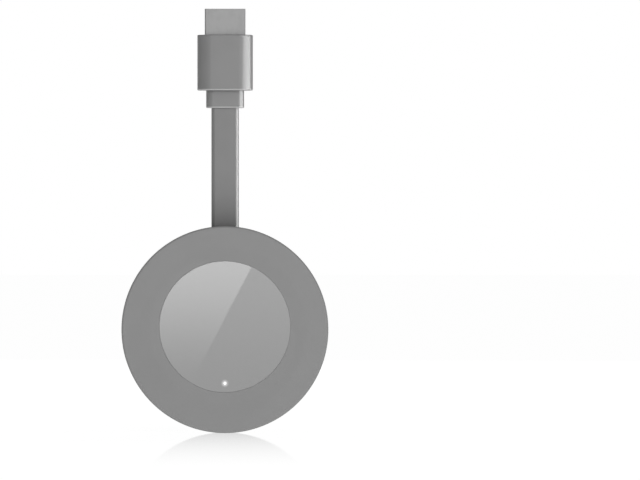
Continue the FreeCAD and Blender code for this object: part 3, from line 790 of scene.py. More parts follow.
def step_in(thing: Thing, test: Test, margin: float, push: float, shift: Point = (0, 0, 0)) -> None:
    """Inset the faces that pass a test, and push what is inside in or out along Y.

    Args:
        thing: The piece.
        test: Which faces.
        margin: Width of the inset.
        push: How far along Y the inner face is extruded.
        shift: How far the inner face is moved before that.
    """
    with editing(thing, Pick.FACES, test):
        bpy.ops.mesh.inset(thickness=margin)
        bpy.ops.transform.translate(value=shift)
        bpy.ops.mesh.extrude_region_move(TRANSFORM_OT_translate={"value": (0, push, 0)})


def open_through(thing: Thing, wall: float) -> None:
    """Make a tube of a bar that runs along Z.

    Args:
        thing: The bar.
        wall: Thickness of the wall that is left.
    """
    with editing(thing, Pick.FACES, lambda at, facing: abs(facing.z) > FACING):
        bpy.ops.mesh.inset(thickness=wall)
        bpy.ops.mesh.bridge_edge_loops()


def turn(thing: Thing, angle: float, height: float) -> None:
    """Turn a piece about an axis along Y at a height."""
    with editing(thing, Pick.FACES):
        bpy.ops.transform.rotate(value=angle, orient_axis="Y", center_override=(0, 0, height))


def shape(thing: Thing, other: Thing, cut: Cut = Cut.TAKE_AWAY) -> None:
    """Cut one solid with another, which is then removed.

    Args:
        thing: The piece.
        other: The cutter.
        cut: What it does.
    """
    modifier = thing.modifiers.new("shape", "BOOLEAN")
    modifier.operation = cut.value
    modifier.object = other
    take(thing)
    bpy.ops.object.modifier_apply(modifier=modifier.name)
    bpy.data.objects.remove(other)


def gather(thing: Thing, others: Iterable[Thing]) -> None:
    """Join further solids into one piece.

    Args:
        thing: The piece.
        others: What it takes in.
    """
    take(thing)
    for other in others:
        other.select_set(True)
    bpy.ops.object.join()


def slice_up(thing: Thing, span: Span, step: float) -> None:
    """Cut a piece into short lengths along Z, so that it bends smoothly.

    Args:
        thing: The piece.
        span: Where the cuts start and end.
        step: Distance between them.
    """
    with editing(thing, Pick.FACES):
        for index in range(round((span[1] - span[0]) / step) + 1):
            bpy.ops.mesh.select_all(action="SELECT")
            bpy.ops.mesh.bisect(plane_co=(0, 0, span[0] + index * step), plane_no=(0, 0, 1))


def smooth(thing: Thing) -> None:
    """Shade a piece smooth but for its creases, and keep large faces flat beside roundings.

    Args:
        thing: The piece.
    """
    take(thing)
    bpy.ops.object.shade_smooth_by_angle(angle=CREASE)
    modifier = thing.modifiers.new("flat_faces", "WEIGHTED_NORMAL")
    modifier.keep_sharp = True
    bpy.ops.object.modifier_apply(modifier=modifier.name)


def dress(thing: Thing, material: Material) -> None:
    """Give a piece one material."""
    thing.data.materials.clear()
    thing.data.materials.append(material)


# Sub-assemblies

@dataclass
class SubAssembly:
    """Pieces that are modelled, dressed and held together on one body."""

    body: str

    def pieces(self) -> Iterator[Piece]:
        """Model the pieces, one after the other."""
        raise NotImplementedError

    def hold(self, thing: Thing) -> None:
        """Fix a piece to the body."""
        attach(thing, self.body)

    def build(self, materials: Materials) -> None:
        """Model, dress and hold every piece, and report it.

        Args:
            materials: The material of each finish.
        """
        for thing, coat, slot, node in self.pieces():
            smooth(thing)
            dress(thing, materials[coat])
            self.hold(thing)
            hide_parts(node)
            LOG.info("%s stands for %s: %d faces", thing.name, node, len(thing.data.polygons))


@dataclass
class PlugEnd(SubAssembly):
    """The plug: a folded sleeve, and a grip and a collar moulded round its inner parts."""

    body: str = "plug"
    # The sleeve: its sheet, the straight height of its sides in front of the cut corners, the width of its
    # rear face, the outer radius of its folds, and the rounding of its mouth.
    sleeve_wall: float = 0.3 * MM
    sleeve_side: float = 2.5 * MM
    sleeve_rear: float = 10.4 * MM
    sleeve_fold: float = 0.5 * MM
    sleeve_mouth: float = 0.13 * MM
    # Its two latch windows, with the drop from the mouth to their upper end, and its rear seam.
    latch_width: float = 1.8 * MM
    latch_length: float = 2.4 * MM
    latch_spacing: float = 5.6 * MM
    latch_drop: float = 3.0 * MM
    seam: float = 0.08 * MM
    # Roundings of the inner mould's upright edges, the grip's two ends and the collar's lower end.
    core_corner: float = 2.0 * MM
    grip_rim: float = 0.35 * MM
    collar_rim: float = 0.3 * MM
    # Gap round the sleeve and round the lead.
    groove: float = 0.12 * MM
    # Steps of the folds and the grip's rims, the mouth, the collar's rim and the inner mould's corners, and
    # each quarter circle of the grip's and the collar's sides.
    fold_steps: int = 5
    mouth_steps: int = 3
    collar_steps: int = 4
    side_steps: int = 28

    def sleeve_bar(self, name: str, grow: float, span: Span) -> Thing:
        """Make a solid bar with the sleeve's section.

        Args:
            name: Its name.
            grow: How much larger than the sleeve it is all round.
            span: Where it starts and ends on Z.

        Returns:
            The bar: a block whose two rear corners are cut off, with rounded folds.
        """
        low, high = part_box("plug_shell")
        wide = high.x + grow
        bar = block(name, (-wide, low.y - grow, span[0]), (wide, high.y + grow, span[1]))
        shoulder = low.y + self.sleeve_side
        run = Vector((self.sleeve_rear / 2 - high.x, high.y - shoulder, 0))
        for side in (-1, 1):
            outward = Vector((side * run.y, -run.x, 0)).normalized()
            corner = Vector((side * high.x, shoulder, 0)) + outward * grow
            with editing(bar, Pick.FACES):
                bpy.ops.mesh.bisect(plane_co=corner, plane_no=outward, use_fill=True, clear_outer=True)
        round_off(bar, upright, self.sleeve_fold, self.fold_steps)
        return bar

    def make_sleeve(self) -> Thing:
        """Make the folded sleeve with its latch windows and rear seam.

        Returns:
            The sleeve.
        """
        low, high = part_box("plug_shell")
        sleeve = self.sleeve_bar("plug_sleeve", 0, (low.z, high.z))
        open_through(sleeve, self.sleeve_wall)
        round_off(sleeve, on_level(Axis.Z, high.z), self.sleeve_mouth, self.mouth_steps)
        top = high.z - self.latch_drop
        half, out = self.latch_width / 2, high.y + PAST
        for x in (-self.latch_spacing / 2, self.latch_spacing / 2):
            shape(sleeve, block("window", (x - half, 0, top - self.latch_length), (x + half, out, top)))
        half = self.seam / 2
        middle = high.y - self.sleeve_wall / 2
        shape(sleeve, block("seam", (-half, middle, low.z - PAST), (half, out, high.z + PAST)))
        return sleeve

    def make_grip(self) -> Thing:
        """Make the grip with its round sides, softened ends, and the gap round the sleeve.

        Returns:
            The grip.
        """
        low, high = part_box("plug_overmould")
        grip = slab("plug_grip", low, high, self.side_steps)
        for end in (low.z, high.z):
            round_off(grip, on_level(Axis.Z, end), self.grip_rim, self.fold_steps)
        core_low, core_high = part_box("plug_inner_mould")
        core = block("core", core_low, core_high)
        round_off(core, upright, self.core_corner, self.collar_steps)
        shape(grip, core)
        shape(grip, self.sleeve_bar("pass", self.groove, (core_high.z - PAST, high.z + PAST)))
        return grip

    def make_collar(self) -> Thing:
        """Make the collar below the grip, with the gap round the lead.

        Returns:
            The collar.
        """
        low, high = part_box("plug_strain_relief")
        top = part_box("plug_overmould")[0].z
        collar = slab("plug_collar", low, Vector((high.x, high.y, top)), self.side_steps)
        round_off(collar, on_level(Axis.Z, low.z), self.collar_rim, self.collar_steps)
        lead_low, lead_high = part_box("lead_jacket")
        gap = Vector((self.groove, self.groove, 0))
        bore_low = Vector((lead_low.x, lead_low.y, low.z - PAST)) - gap
        bore_high = Vector((lead_high.x, lead_high.y, high.z + PAST)) + gap
        shape(collar, slab("bore", bore_low, bore_high, BORE_STEPS))
        return collar

    def pieces(self) -> Iterator[Piece]:
        """Model the sleeve, the grip and the collar."""
        yield self.make_sleeve(), Coat.NICKEL, "plug_steel", "plug_shell"
        yield self.make_grip(), Coat.GRIP, "grey_grip", "plug_overmould"
        yield self.make_collar(), Coat.GRIP, "grey_grip", "plug_strain_relief"


@dataclass
class FlatLead(SubAssembly):
    """The flat lead: a jacket with a chamber for its cores, both sliced between the collar and the puck."""

    body: str = "plug"
    # Gap between the cores and the chamber's front and rear walls.
    core_gap: float = 0.022 * MM
    # Length of the slices that let it bend, and steps of each quarter circle of the jacket's sides.
    slice_length: float = 0.8 * MM
    side_steps: int = 14

    def bend_span(self) -> Span:
        """Return where the free lead ends, at the puck's rim and at the collar."""
        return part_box("rear_cover")[1].z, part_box("plug_strain_relief")[0].z

    def make_jacket(self) -> Thing:
        """Make the jacket as a tube, sliced for bending.

        Returns:
            The jacket.
        """
        low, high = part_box("lead_jacket")
        jacket = slab("lead_sheath", low, high, self.side_steps)
        open_through(jacket, high.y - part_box("lead_cores")[1].y - self.core_gap)
        slice_up(jacket, self.bend_span(), self.slice_length)
        return jacket

    def make_cores(self) -> Thing:
        """Copy the insulated cores with their bends into the puck, and slice them for bending.

        Returns:
            The cores.
        """
        cores = frame["nodes"]["lead_cores"].copy()
        cores.data = cores.data.copy()
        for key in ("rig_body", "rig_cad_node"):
            del cores[key]
        cores.name = "lead_wires"
        cores.parent = None
        bpy.context.collection.objects.link(cores)
        with editing(cores, Pick.FACES):
            bpy.ops.mesh.remove_doubles(threshold=TOUCH / 10)
        slice_up(cores, self.bend_span(), self.slice_length)
        return cores

    def pieces(self) -> Iterator[Piece]:
        """Model the jacket and the cores."""
        yield self.make_jacket(), Coat.JACKET, "grey_grip", "lead_jacket"
        yield self.make_cores(), Coat.CORES, "core_insulation", "lead_cores"

    def hold(self, thing: Thing) -> None:
        """Keep a piece's places at rest for its patterns, and bake its place into its mesh.

        Args:
            thing: The piece.
        """
        kept = thing.data.attributes.new(REST_PLACE, "FLOAT_VECTOR", "POINT")
        for point, vertex in zip(kept.data, thing.data.vertices):
            point.vector = vertex.co
        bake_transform(thing)


@dataclass
class PuckBody(SubAssembly):
    """The puck's two covers, its inlay and what is moulded on them."""

    body: str = "puck"
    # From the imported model: the puck's radius, its middle on Z, and its levels on Y.
    radius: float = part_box("front_cover")[1].x
    middle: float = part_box("front_cover")[1].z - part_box("front_cover")[1].x
    front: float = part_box("front_cover")[0].y
    parting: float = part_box("front_cover")[1].y
    rear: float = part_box("rear_cover")[1].y
    # The inlay's radius and middle on Z, the gap round it, and the radius of the light's hole.
    inlay_radius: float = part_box("face_disc")[1].x
    inlay_middle: float = sum(corner.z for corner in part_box("face_disc")) / 2
    inlay_gap: float = 0.02 * MM
    light_hole: float = 0.73 * MM
    # The side wall and both plates, the recess's floor, and the rear cover's lip in the front cover.
    wall: float = 1.6 * MM
    floor: float = 1.1 * MM
    lip_wall: float = 1.0 * MM
    lip_reach: float = 2.0 * MM
    lip_gap: float = 0.1 * MM
    # Roundings of the two rims, the rear cover's edge at the parting line, the recess and the inlay.
    front_round: float = 0.8 * MM
    rear_round: float = 2.6 * MM
    seam_round: float = 0.2 * MM
    recess_round: float = 0.04 * MM
    inlay_round: float = 0.12 * MM
    front_steps: int = 8
    rear_steps: int = 16
    inlay_steps: int = 4
    trim_steps: int = 2
    # The lead's way and the socket's opening: the gap round what passes, and the depth from the rim. The
    # socket's gap is measured from its tongue, so it holds its sleeve too.
    slot_gap: float = 0.15 * MM
    slot_depth: float = 2.6 * MM
    socket_gap: float = 0.55 * MM
    socket_depth: float = 3.2 * MM
    # The reset key's hole: its place from the bottom towards +X, its radius, the length of its cutter, and
    # half the width of the gap in the lip behind it.
    key_angle: float = math.radians(24)
    key_hole: float = 1.6 * MM
    key_reach: float = 4.0 * MM
    key_relief: float = 3.8 * MM
    # Radii of the screw bosses, their pilots and the screws' heads, and the pilots' depth.
    boss: float = 2.2 * MM
    pilot: float = 0.85 * MM
    screw_head: float = 1.6 * MM
    pilot_depth: float = 3.6 * MM
    # The two ribs beside the lead's grommet: their thickness, their gap from it, their height from the front
    # plate, and how far below its top they end.
    rib: float = 1.1 * MM
    rib_gap: float = 0.05 * MM
    rib_height: float = 5.0 * MM
    rib_drop: float = 0.6 * MM
    # How much wider on each side than the grommet and the socket the gaps in the lip are, and how much
    # narrower than the first the tongue is.
    tongue_margin: float = 1.3 * MM
    port_margin: float = 0.15 * MM
    tongue_inset: float = 3.0 * MM
    # The snap hooks: their places round the lip in degrees, their width, how far they reach past it, how far
    # the catch stands out, how thick it is, its slope, and the gap round it in its pocket.
    hook_angles: tuple[int, ...] = (20, 160, 205, 335)
    hook_width: float = 5.0 * MM
    hook_reach: float = 2.4 * MM
    hook_catch: float = 0.5 * MM
    catch_height: float = 1.0 * MM
    hook_slope: float = 0.45 * MM
    pocket_gap: float = 0.15 * MM

    def away(self, point: Vector) -> float:
        """Return a point's distance from the puck's axis."""
        return math.hypot(point.x, point.z - self.middle)

    def front_plate(self, at: Vector, facing: Vector) -> bool:
        """Tell whether a face in the puck's middle looks to the front."""
        return facing.y < -FACING and self.away(at) < MM

    def rear_plate(self, at: Vector, facing: Vector) -> bool:
        """Tell whether a face in the puck's middle looks to the rear."""
        return facing.y > FACING and self.away(at) < MM

    def light_way(self) -> Thing:
        """Make the cutter for the light's hole through the cover and the inlay."""
        span = (PIPE_LOW.y - PAST, PIPE_HIGH.y)
        return barrel("light_way", self.light_hole, span, (0, LIGHT_HEIGHT), HOLE_SIDES)

    def lead_way(self) -> Thing:
        """Make the cutter for the lead's way through the rim, open towards the parting line.

        Returns:
            A block with a round front.
        """
        low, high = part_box("lead_jacket")
        gap = Vector((self.slot_gap, self.slot_gap, 0))
        rim = self.middle + self.radius
        below = Vector((low.x, low.y, rim - self.slot_depth)) - gap
        above = Vector((high.x, high.y, rim + PAST)) + gap
        way = block("lead_way", below, (above.x, self.parting + PAST, above.z))
        round_off(way, lambda a, b: upright(a, b) and same(a.y, below.y), (above.y - below.y) / 2, BORE_STEPS)
        return way

    def socket_way(self) -> Thing:
        """Make the cutter for the power socket's opening.

        Returns:
            A slab.
        """
        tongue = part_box("usb_tongue")[1]
        half, deep = tongue.x + self.socket_gap, tongue.y + self.socket_gap
        rim = self.middle - self.radius
        low = Vector((-half, -deep, rim - PAST))
        return slab("socket_way", low, Vector((half, deep, rim + self.socket_depth)), BORE_STEPS)

    def key_way(self) -> Thing:
        """Make the cutter for the reset key's hole.

        Returns:
            A barrel that points to the puck's middle.
        """
        reach = self.radius - self.wall / 2
        low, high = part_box("reset_key")
        place = (reach * math.sin(self.key_angle), (low.y + high.y) / 2,
                 self.middle - reach * math.cos(self.key_angle))
        settle()
        bpy.ops.mesh.primitive_cylinder_add(vertices=HOLE_SIDES, radius=self.key_hole, depth=self.key_reach,
                                            location=place, rotation=(0, -self.key_angle, 0))
        return bpy.context.object

    def make_hook(self, angle: int, grow: float = 0.0) -> Thing:
        """Make a snap hook, or only its catch, larger all round, as the cutter for its pocket.

        Args:
            angle: Its place round the lip in degrees.
            grow: How much larger the pocket is, or zero for the hook.

        Returns:
            The hook or the cutter.
        """
        half = self.hook_width / 2
        lip = self.middle + self.radius - self.wall - self.lip_gap
        base = self.parting - self.lip_reach
        end = base - self.hook_reach
        top = end + self.catch_height
        hook = block("hook", (-half - grow, end - grow, lip - self.lip_wall - grow),
                     (half + grow, top + grow, lip + self.hook_catch + grow))
        if not grow:
            low = (-half, top - TOUCH, lip - self.lip_wall)
            gather(hook, [block("stem", low, (half, base + TOUCH, lip))])
            slope = on_level(Axis.Y, end)
            round_off(hook, lambda a, b: slope(a, b) and same(a.z, lip + self.hook_catch), self.hook_slope,
                      self.trim_steps)
        turn(hook, math.radians(90 - angle), self.middle)
        return hook

    def make_posts(self, start: float) -> list[Thing]:
        """Make what stands on the front plate: three screw bosses, and two ribs beside the lead's grommet.

        Args:
            start: Level of the front plate's inside on Y.

        Returns:
            The bosses and the ribs.
        """
        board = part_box("main_board")[0].y
        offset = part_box("board_screws")[1].x - self.screw_head
        posts = []
        for x, z in ((offset, offset), (-offset, offset), (-offset, -offset)):
            boss = barrel("boss", self.boss, (start - TOUCH, board), (x, self.middle + z), HOLE_SIDES)
            step_in(boss, lambda at, facing: facing.y > FACING, self.boss - self.pilot, -self.pilot_depth)
            posts.append(boss)
        low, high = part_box("lead_grommet")
        for side in (-1, 1):
            x = side * (high.x + self.rib_gap + self.rib / 2)
            posts.append(block("rib", (x - self.rib / 2, start - TOUCH, low.z - self.rib),
                               (x + self.rib / 2, start + self.rib_height, high.z - self.rib_drop)))
        return posts

    def make_front_cover(self) -> Thing:
        """Make the front cover: rounded rim, recess, hollow with bosses, and its openings.

        Returns:
            The cover.
        """
        cover = barrel("front_cover_moulding", self.radius, (self.front, self.parting), (0, self.middle))
        rim = on_level(Axis.Y, self.front)
        round_off(cover, rim, self.front_round, self.front_steps)
        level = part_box("disc_adhesive")[1].y
        recess = self.inlay_radius + self.inlay_gap
        shift = (0, 0, self.inlay_middle - self.middle)
        inside = self.front + self.wall
        step_in(cover, self.front_plate, self.radius - self.front_round - recess, level - self.front, shift)
        step_in(cover, self.rear_plate, self.wall, inside - self.parting)
        deeper = level + self.floor - inside
        step_in(cover, self.rear_plate, self.radius - 2 * self.wall - recess, deeper, shift)
        inner = self.radius - 2 * self.front_round
        round_off(cover, lambda a, b: rim(a, b) and max(self.away(a), self.away(b)) < inner,
                  self.recess_round, self.trim_steps)
        for way in (self.light_way, self.lead_way, self.socket_way, self.key_way):
            shape(cover, way())
        for angle in self.hook_angles:
            shape(cover, self.make_hook(angle, self.pocket_gap))
        gather(cover, self.make_posts(inside))
        return cover

    def make_rear_cover(self) -> Thing:
        """Make the rear cover: large rounded rim, lip with hooks, and the tongue behind the lead.

        Returns:
            The cover.
        """
        cover = barrel("rear_cover_moulding", self.radius, (self.parting, self.rear), (0, self.middle))
        round_off(cover, on_level(Axis.Y, self.rear), self.rear_round, self.rear_steps)
        round_off(cover, on_level(Axis.Y, self.parting), self.seam_round, self.trim_steps)
        lip = self.radius - self.wall - self.lip_gap
        lip_end = self.parting - self.lip_reach
        step_in(cover, self.front_plate, self.radius - self.seam_round - lip, -self.lip_reach)
        step_in(cover, self.front_plate, self.lip_wall, self.rear - self.wall - lip_end)
        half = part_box("lead_grommet")[1].x + self.tongue_margin
        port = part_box("usb_shell")[1].x + self.port_margin
        clear, past = lip + self.lip_gap, self.radius + PAST
        for wide, below, above, angle in ((half, 0, clear, 0), (port, -clear, 0, 0),
                                          (self.key_relief, -past, 0, -self.key_angle)):
            gap = block("gap", (-wide, lip_end - PAST, self.middle + below),
                        (wide, self.parting, self.middle + above))
            turn(gap, angle, self.middle)
            shape(cover, gap)
        half -= self.tongue_inset
        tongue = block("tongue", (-half, 0, self.middle + self.radius - self.wall),
                       (half, self.parting + TOUCH, self.middle + past))
        wall = barrel("wall", self.radius, (-PAST, self.parting + PAST), (0, self.middle))
        shape(tongue, wall, Cut.KEEP_INSIDE)
        shape(tongue, self.lead_way())
        gather(cover, [tongue, *map(self.make_hook, self.hook_angles)])
        return cover

    def make_inlay(self) -> Thing:
        """Make the inlay: a flat disc with a softened edge and the light's hole.

        Returns:
            The inlay.
        """
        low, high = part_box("face_disc")
        inlay = barrel("inlay_disc", self.inlay_radius, (low.y, high.y), (0, self.inlay_middle))
        round_off(inlay, on_level(Axis.Y, low.y), self.inlay_round, self.inlay_steps)
        shape(inlay, self.light_way())
        return inlay

    def pieces(self) -> Iterator[Piece]:
        """Model the two covers and the inlay."""
        yield self.make_front_cover(), Coat.COVER, "grey_cover", "front_cover"
        yield self.make_rear_cover(), Coat.COVER, "grey_cover", "rear_cover"
        yield self.make_inlay(), Coat.INLAY, "gloss_disc", "face_disc"


@dataclass
class InnerParts:
    """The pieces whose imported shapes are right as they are, with the finish of each."""

    coats: dict[Coat, tuple[str, ...]] = field(default_factory=lambda: {
        Coat.BLACK_NYLON: ("plug_insulator", "usb_tongue", "switch_plunger", "reset_switch"),
        Coat.GOLD: ("plug_contacts", "usb_contacts", "left_antenna", "right_antenna"),
        Coat.BOARD: ("plug_board", "main_board"),
        Coat.CORE_MOULD: ("plug_inner_mould",),
        Coat.FOAM: ("disc_adhesive",),
        Coat.LIGHT_PIN: ("light_pipe",),
        Coat.LENS: ("status_led",),
        Coat.ZINC: ("board_screws",),
        Coat.EPOXY: ("processor_chip", "memory_chips", "flash_chip", "power_chip"),
        Coat.FERRITE: ("inductors",),
        Coat.CAPACITOR: ("capacitors",),
        Coat.TINPLATE: ("crystal", "shield_frame", "shield_cover", "wireless_module"),
        Coat.SILICONE: ("chip_pad", "spreader_pad"),
        Coat.ALUMINIUM: ("heat_spreader",),
        Coat.IVORY_NYLON: ("board_socket", "lead_plug"),
        Coat.GRIP: ("lead_grommet",),
        Coat.STAINLESS: ("usb_shell",),
        Coat.COVER: ("reset_key",),
    })

    def build(self, materials: Materials) -> None:
        """Dress every node that keeps its shape, and report it.

        Args:
            materials: The material of each finish.
        """
        for coat, nodes in self.coats.items():
            for node in nodes:
                dress(frame["nodes"][node], materials[coat])
                LOG.info("%s keeps its packed shape, in %s", node, materials[coat].name)


# Studio

@dataclass(frozen=True)
class TableTop(Surface):
    """A white glossy table that glows softly, whose mirror image of the puck fades towards the viewer.

    Attributes:
        colour: sRGB hex of the plain table.
        glow: Strength of its glow.
        glow_shares: Share of the glow in the light that it passes on to the part, and in what is seen of it.
        gloss: Roughness of the mirror image.
        ior: Refractive index of the gloss.
        toward: The mirror image along Y, towards the viewer.
        behind: The mirror image along Y, behind the puck.
        aside: The mirror image by the distance from the middle on X.
    """

    colour: str = "#FAFAFA"
    glow: float = 1.07
    glow_shares: Span = (0.5, 0.9)
    gloss: float = 0.03
    ior: float = 1.45
    toward: Ramp = (-0.46, 0.0, 0.0, 1.0)
    behind: Ramp = (0.0, 0.03, 0.44, 0.0)
    aside: Ramp = (0.045, 0.08, 1.0, 0.0)

    def shader(self, tree: Tree) -> Socket:
        """Mix the plain table, its glow and its gloss.

        Args:
            tree: The material's node tree.

        Returns:
            The mixed shader's output.
        """
        rays = add_node(tree, "LightPath")
        seen = rays["Is Camera Ray"]
        for kind in ("Is Glossy Ray", "Is Transmission Ray"):
            seen = add_node(tree, "Math", (seen, rays[kind]), operation="MAXIMUM")["Value"]
        axes = add_node(tree, "SeparateXYZ", (add_node(tree, "TexCoord")["Object"],))
        near = add_node(tree, "MapRange", (axes["Y"], *self.toward))["Result"]
        beside = add_node(tree, "Math", (axes["X"],), operation="ABSOLUTE")["Value"]
        share = add_node(tree, "Math", (near, 2.0), operation="POWER")["Value"]
        for part in (
            add_node(tree, "MapRange", (axes["Y"], *self.behind))["Result"],
            add_node(tree, "MapRange", (beside, *self.aside), interpolation_type="SMOOTHSTEP")["Result"],
            add_node(tree, "Fresnel", {"IOR": self.ior})["Fac"],
            seen,
        ):
            share = add_node(tree, "Math", (share, part), operation="MULTIPLY")["Value"]
        glowing = add_node(tree, "MapRange", (seen, 0.0, 1.0, *self.glow_shares))["Result"]
        lit = add_node(tree, "BsdfDiffuse", {"Color": linear(self.colour)})["BSDF"]
        glow = add_node(tree, "Emission", {"Strength": self.glow})["Emission"]
        gloss = add_node(tree, "BsdfGlossy", {"Color": linear(WHITE), "Roughness": self.gloss})["BSDF"]
        plain = add_node(tree, "MixShader", (glowing, lit, glow))["Shader"]
        return add_node(tree, "MixShader", (share, plain, gloss))["Shader"]


@dataclass(frozen=True)
class SoftboxCloth(Surface):
    """The cloth of the softbox that the inlay mirrors. It fades downwards, and a slanted flag shades it.

    Its places are given on the inlay, where the camera sees each point of the cloth mirrored.

    Attributes:
        shift: What is added to a place on the cloth, once scaled, to get its place on the inlay.
        scale: Scale from the cloth to the inlay.
        fade: The cloth's brightness along Z.
        flag_point: A point on the flag's edge, on X and Z.
        flag_slope: How far the edge runs along X for each step along Z.
        flag_shade: The share of the light that passes, across the edge.
    """

    shift: Point = (0.0, 0.0, 0.0)
    scale: float = 1.0
    fade: Ramp = (-122 * MM, -72 * MM, 0.0, 5.4)
    flag_point: Span = (9.05 * MM, -79.4 * MM)
    flag_slope: float = 0.523
    flag_shade: Ramp = (-0.2 * MM, 0.2 * MM, 1.0, 0.29)

    def shader(self, tree: Tree) -> Socket:
        """Make the cloth glow.

        Args:
            tree: The material's node tree.

        Returns:
            The glow's output.
        """
        place = add_node(tree, "TexCoord")["Object"]
        scaling = {"Vector": place, "Location": self.shift, "Scale": (self.scale,) * 3}
        axes = add_node(tree, "SeparateXYZ", (add_node(tree, "Mapping", scaling)["Vector"],))
        foot = self.flag_point[0] - self.flag_point[1] * self.flag_slope
        edge = add_node(tree, "Math", (axes["Z"], self.flag_slope, foot), operation="MULTIPLY_ADD")["Value"]
        past = add_node(tree, "Math", (axes["X"], edge), operation="SUBTRACT")["Value"]
        shade = add_node(tree, "MapRange", (past, *self.flag_shade))["Result"]
        fade = add_node(tree, "MapRange", (axes["Z"], *self.fade), interpolation_type="SMOOTHSTEP")["Result"]
        strength = add_node(tree, "Math", (fade, shade), operation="MULTIPLY")["Value"]
        return add_node(tree, "Emission", {"Strength": strength})["Emission"]


@dataclass(frozen=True)
class Lamp:
    """A soft rectangular lamp that faces the part.

    Attributes:
        name: Its name.
        role: What it does.
        stand: Where it stands, in metres.
        size: Its width and height.
        watts: Its power.
        only: The pieces that it is flagged to, or none where it lights all.
    """

    name: str
    role: Role
    stand: Point
    size: Span
    watts: float
    only: tuple[str, ...] = ()

    def build(self, target: Vector) -> None:
        """Hang the lamp.

        Args:
            target: What it faces.
        """
        light = bpy.data.lights.new(self.name, "AREA")
        light.shape = "RECTANGLE"
        light.size, light.size_y = self.size
        light.energy = self.watts
        lamp = bpy.data.objects.new(self.name, light)
        lamp.location = self.stand
        lamp.rotation_euler = (target - Vector(self.stand)).to_track_quat("-Z", "Y").to_euler()
        lamp.visible_camera = False
        lamp.visible_glossy = self.role is Role.STREAK
        lamp.visible_diffuse = self.role is Role.FILL
        bpy.context.collection.objects.link(lamp)
        if self.only:
            lit = bpy.data.collections.new(f"lit_by_{self.name}")
            for piece in self.only:
                lit.objects.link(bpy.data.objects[piece])
            lamp.light_linking.receiver_collection = lit


@dataclass(frozen=True)
class Room:
    """The white room, by the direction that a ray leaves in. Its left is dark, as the photograph's is.

    Attributes:
        front: Its light along Y, on the viewer's side.
        rear: Its light along Y, behind the part.
        left: The share of both along X.
        card: The white card behind the part that gloss shows, along Y.
        horizon: The white band at eye level that gloss shows, by the height above and below its middle.
        horizon_middle: Height of that middle.
    """

    front: Ramp = (0.1, -0.95, 0.12, 0.88)
    rear: Ramp = (0.3, 0.95, 0.0, 0.6)
    left: Ramp = (-0.7, 0.1, 0.12, 1.0)
    card: Ramp = (0.985, 0.997, 0.0, 1.0)
    horizon: Ramp = (0.02, 0.03, 1.0, 0.0)
    horizon_middle: float = 0.02

    def build(self) -> None:
        """Make the room: plain white to the camera, and white card and horizon to gloss and glass."""
        world = bpy.data.worlds.new("white_room")
        tree = empty_tree(world)
        rays = add_node(tree, "LightPath")
        axes = add_node(tree, "SeparateXYZ", (add_node(tree, "TexCoord")["Generated"],))
        offset = add_node(tree, "Math", (axes["Z"], self.horizon_middle), operation="SUBTRACT")["Value"]
        level = add_node(tree, "Math", (offset,), operation="ABSOLUTE")["Value"]
        front, rear, left, card, horizon = (
            add_node(tree, "MapRange", (along, *ramp), interpolation_type="SMOOTHSTEP")["Result"]
            for along, ramp in ((axes["Y"], self.front), (axes["Y"], self.rear), (axes["X"], self.left),
                                (axes["Y"], self.card), (level, self.horizon)))
        both, white, mirrored = (
            add_node(tree, "Math", pair, operation="MAXIMUM")["Value"]
            for pair in ((front, rear), (card, horizon),
                         (rays["Is Glossy Ray"], rays["Is Transmission Ray"])))
        room, strength = (
            add_node(tree, "Math", pair, operation="MULTIPLY")["Value"]
            for pair in ((both, left), (mirrored, white)))
        for other in (rays["Is Camera Ray"], room):
            strength = add_node(tree, "Math", (strength, other), operation="MAXIMUM")["Value"]
        back = add_node(tree, "Background", {"Color": linear(WHITE), "Strength": strength})["Background"]
        add_node(tree, "OutputWorld", {"Surface": back})
        bpy.context.scene.world = world


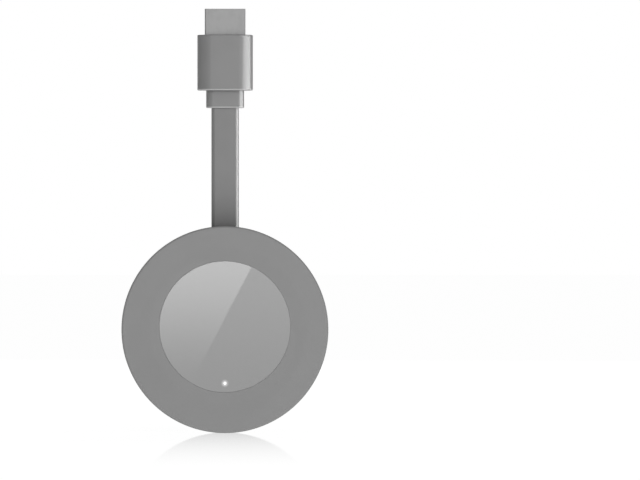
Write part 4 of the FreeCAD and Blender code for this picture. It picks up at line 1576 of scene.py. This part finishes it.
@dataclass
class Studio:
    """The camera at the photograph's angle, the room, the table and the lights."""

    # The photograph's width and height in pixels, and the size of a pixel at the part.
    picture: tuple[int, int] = (640, 480)
    pixel: float = 0.342 * MM
    # Column of the part's middle in it, and row of the plug's shoulder.
    centre_column: float = 225.15
    shoulder_row: float = 35.0
    # How far away the camera stands, and the width of its sensor in millimetres.
    distance: float = 2.5
    sensor: float = 36.0
    # The table's sides and its middle on Y.
    table_size: float = 12.0
    table_middle: float = 5.35
    # The softbox's sides, and how far behind the camera it stands.
    softbox_size: float = 0.11
    softbox_behind: float = 0.1
    # What the lamps face, as a share of the picture's height below the shoulder.
    aim: float = 0.43
    lamps: tuple[Lamp, ...] = (
        Lamp("front_softbox", Role.FILL, (0.25, -1.3, 0.22), (0.6, 0.6), 7.4),
        Lamp("rear_softbox", Role.FILL, (0.2, 1.3, 0.4), (0.6, 0.6), 7.0),
        Lamp("right_strip", Role.STREAK, (0.72, -0.21, -0.10), (1.04, 0.3), 13.6,
             only=("plug_grip", "plug_collar", "lead_sheath")),
    )

    def add_camera(self) -> None:
        """Stand the camera level in front of the picture's centre, with a long lens."""
        camera = bpy.data.cameras.new("photo_camera")
        camera.sensor_width = self.sensor
        camera.lens = self.sensor * self.distance / (self.picture[0] * self.pixel)
        stand = bpy.data.objects.new("photo_camera", camera)
        stand.location = ((self.picture[0] / 2 - self.centre_column) * self.pixel, -self.distance,
                          (self.shoulder_row - self.picture[1] / 2) * self.pixel)
        stand.rotation_euler = (math.pi / 2, 0, 0)
        bpy.context.collection.objects.link(stand)
        bpy.context.scene.camera = stand

    def add_table(self) -> None:
        """Lay the table under the puck."""
        settle()
        bpy.ops.mesh.primitive_plane_add(size=self.table_size,
                                         location=(0, self.table_middle, cad_box[0].z - TOUCH))
        bpy.ops.object.transform_apply(location=True, rotation=True, scale=True)
        table = bpy.context.object
        table.name = "table"
        dress(table, TableTop("white table").build())

    def add_softbox(self) -> None:
        """Stand a softbox behind the camera that only the inlay mirrors."""
        low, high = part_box("face_disc")
        camera = bpy.context.scene.camera.location
        stand_y = camera.y - self.softbox_behind
        reach = (low.y - stand_y) / (low.y - camera.y)
        middle = (low + high) / 2
        mirrored = middle + (middle - camera) * reach
        settle()
        bpy.ops.mesh.primitive_plane_add(size=self.softbox_size, rotation=(math.pi / 2, 0, 0),
                                         location=(mirrored.x, stand_y, mirrored.z))
        bpy.ops.object.transform_apply(location=True, rotation=True, scale=True)
        box = bpy.context.object
        box.name = "softbox"
        scale = 1 / (1 + reach)
        dress(box, SoftboxCloth("softbox cloth", shift=tuple(camera * reach * scale), scale=scale).build())
        for ray in ("camera", "diffuse", "transmission", "volume_scatter", "shadow"):
            setattr(box, f"visible_{ray}", False)

    def build(self) -> None:
        """Set up the studio without its lamps."""
        self.add_camera()
        Room().build()
        self.add_table()
        self.add_softbox()
        bpy.context.scene.view_settings.view_transform = "Standard"

    def hang_lamps(self) -> None:
        """Hang the lamps, once the pieces that they are flagged to are there."""
        target = Vector((0, 0, -self.picture[1] * self.pixel * self.aim))
        for lamp in self.lamps:
            lamp.build(target)
            LOG.info("%s %s", lamp.name, lamp.role.value)


def main() -> None:
    """Build the studio and the part, one sub-assembly after the other."""
    logging.basicConfig(level=logging.INFO, format="%(name)s: %(message)s")
    studio = Studio()
    studio.build()
    materials = {coat: coat.value.build() for coat in Coat}
    for assembly in (PlugEnd(), FlatLead(), PuckBody(), InnerParts()):
        assembly.build(materials)
    studio.hang_lamps()
    settle()


if __name__ == "__main__":
    main()
